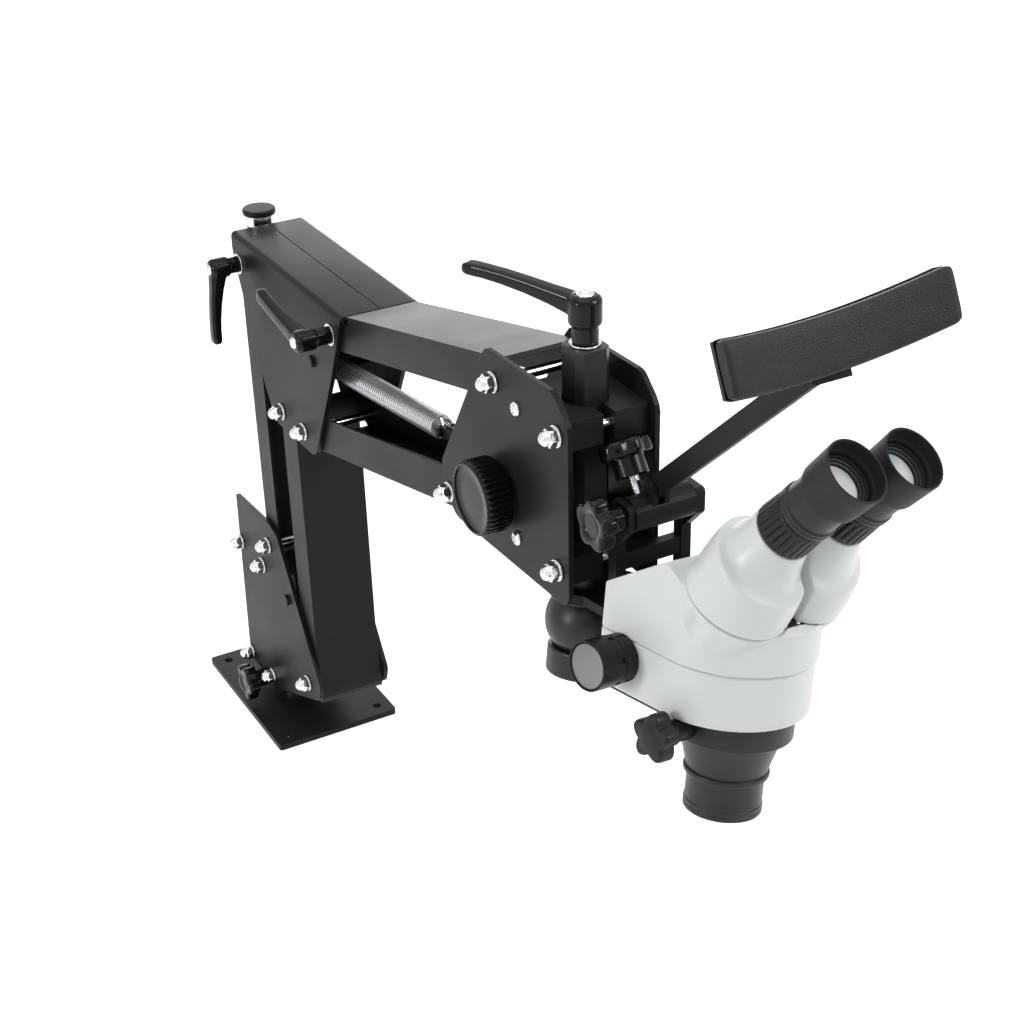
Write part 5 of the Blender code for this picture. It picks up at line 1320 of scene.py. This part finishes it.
def pad_rings(rows, steps):
    rings = []
    for i in range(rows + 1):
        share = -1 + 2 * i / rows
        share = math.sin(share * math.pi / 2) if abs(share) < 1 else share
        close = 1 - max(0.0, (abs(share) - 0.94) / 0.06) ** 2.4
        fill = max(0.30, close) ** 0.5
        ring = []
        for k in range(steps):
            a = 2 * math.pi * k / steps
            c, s = math.cos(a), math.sin(a)
            up = PAD_HEIGHT / 2 * math.copysign(abs(c) ** 0.34, c) * (0.84 + 0.16 * fill)
            out = PAD_THICK / 2 * math.copysign(abs(s) ** 0.52, s) * (0.35 + 0.65 * fill)
            spot = pad_centre + pad_up * up + pad_bend(share)
            spot = spot + pad_out * (out - PAD_THICK / 2)
            spot.y = pad_centre.y - share * (PAD_HALF - 0.0004)
            ring.append(spot)
        rings.append(ring)
    return rings


pad = loft("padded_rest", pad_rings(60, 48))
soft = pad.modifiers.new("soft", "SUBSURF")
soft.levels = 1
soft.render_levels = 1
pad_mesh = applied(pad)
pad_mesh.shade_smooth()
settle(pad, "rest", "pad_cover", COVER, "rest_pad")
board_rings = []
for i in range(33):
    share = -1 + 2 * i / 32
    middle = pad_centre + pad_bend(share) - pad_out * PAD_THICK
    middle.y = pad_centre.y - share * PAD_HALF
    tall = PAD_HEIGHT / 2 + BOARD_RIM
    if abs(share) == 1:
        tall -= 0.0012
    board_rings.append([middle + pad_up * up + pad_out * out for up, out in (
        (-tall, 0.0004), (-tall + 0.0005, 0.0009), (tall - 0.0005, 0.0009), (tall, 0.0004),
        (tall, -BOARD_THICK + 0.0005), (tall - 0.0005, -BOARD_THICK),
        (-tall + 0.0005, -BOARD_THICK), (-tall, -BOARD_THICK + 0.0005))])
board = loft("rest_board", board_rings)
settle(board, "rest", "pad_cover", GLOSS)
print("pad", len(pad_mesh.polygons))

# %% [markdown]
# Rounded edges
# Folded sheet, blocks and plates keep the CAD mesh, which can't be changed. Their finish
# rounds the edges in the shading, so a cut edge catches a thin line of light.

# %% Camera
FOCUS_PIXELS = 1944.0
yaw, pitch, roll = math.radians(151.40), math.radians(28.74), math.radians(1.33)
ahead = Vector((math.cos(yaw) * math.cos(pitch), math.sin(yaw) * math.cos(pitch),
                -math.sin(pitch)))
level = ahead.cross(Vector((0, 0, 1))).normalized()
downward = ahead.cross(level)
right = level * math.cos(roll) + downward * math.sin(roll)
down = downward * math.cos(roll) - level * math.sin(roll)
eye = bpy.data.cameras.new("photo camera")
eye.sensor_width = 36.0
eye.lens = 36.0 * FOCUS_PIXELS / 1024.0
camera = bpy.data.objects.new("photo camera", eye)
bpy.context.scene.collection.objects.link(camera)
axes = Matrix((right, -down, -ahead)).transposed().to_4x4()
camera.matrix_world = Matrix.Translation((1.6179, -0.6237, 1.1486)) @ axes
bpy.context.scene.camera = camera
print("camera lens", round(eye.lens, 2))

# %% [markdown]
# Light
# The photo is a product shot in a white tent: a broad panel above, a narrow fill at the
# front left, a key at the right and a low panel behind. The backdrop is white to the camera.

# %% Lights
def soft_lamp(name, place, target, size, power):
    lamp = bpy.data.lights.new(name, "AREA")
    lamp.shape = "RECTANGLE"
    lamp.size, lamp.size_y = size
    lamp.energy = power
    obj = bpy.data.objects.new(name, lamp)
    bpy.context.scene.collection.objects.link(obj)
    obj.visible_camera = False
    away = Vector(place) - Vector(target)
    obj.matrix_world = (Matrix.Translation(place)
                        @ away.to_track_quat("Z", "Y").to_matrix().to_4x4())
    return obj


middle = (0.42, 0.0, 0.40)
soft_lamp("overhead tent", (0.6, -0.2, 2.3), middle, (1.6, 1.6), 11.0)
soft_lamp("front left fill", (0.7, -2.1, 1.1), middle, (0.30, 0.70), 15.0)
soft_lamp("right key", (1.8, 1.3, 1.9), middle, (0.9, 0.9), 22.0)
soft_lamp("back panel", (-2.2, 1.25, 0.80), middle, (2.4, 0.9), 20.0)
world = bpy.data.worlds.new("white tent")
bpy.context.scene.world = world
world.use_nodes = True
backing = world.node_tree.nodes["Background"]
backing.inputs["Strength"].default_value = 1.0


def seen_directly(tree):
    """One for rays that show the backdrop: to the camera, in a reflection or through glass."""
    rays = tree.nodes.new("ShaderNodeLightPath")
    mirrored = math_node(tree, "MAXIMUM", rays.outputs["Is Camera Ray"],
                         rays.outputs["Is Glossy Ray"])
    return math_node(tree, "MAXIMUM", mirrored, rays.outputs["Is Transmission Ray"])


mix = world.node_tree.nodes.new("ShaderNodeMix")
mix.data_type = "RGBA"
mix.inputs["A"].default_value = (0.34, 0.35, 0.355, 1)
mix.inputs["B"].default_value = (1.0, 1.0, 1.0, 1)
world.node_tree.links.new(seen_directly(world.node_tree), mix.inputs["Factor"])
world.node_tree.links.new(mix.outputs["Result"], backing.inputs["Color"])

# %% Floor
floor = new_piece("pale floor", [(-6, -6, -0.0005), (6, -6, -0.0005), (6, 6, -0.0005),
                                 (-6, 6, -0.0005)], [(0, 1, 2, 3)])
floor_mat, floor_tree, floor_shader = start_finish("Pale floor", (0.98, 0.98, 0.98), 0.9)
floor_shader.inputs["Specular IOR Level"].default_value = 0.0
floor_strength = math_node(floor_tree, "MULTIPLY", seen_directly(floor_tree), 0.65)
floor_tree.links.new(floor_strength, floor_shader.inputs["Emission Strength"])
floor_shader.inputs["Emission Color"].default_value = (1.0, 1.0, 1.0, 1.0)
floor.data.materials.append(floor_mat)
bpy.context.scene.view_settings.view_transform = "Standard"
print("floor and lights ready")
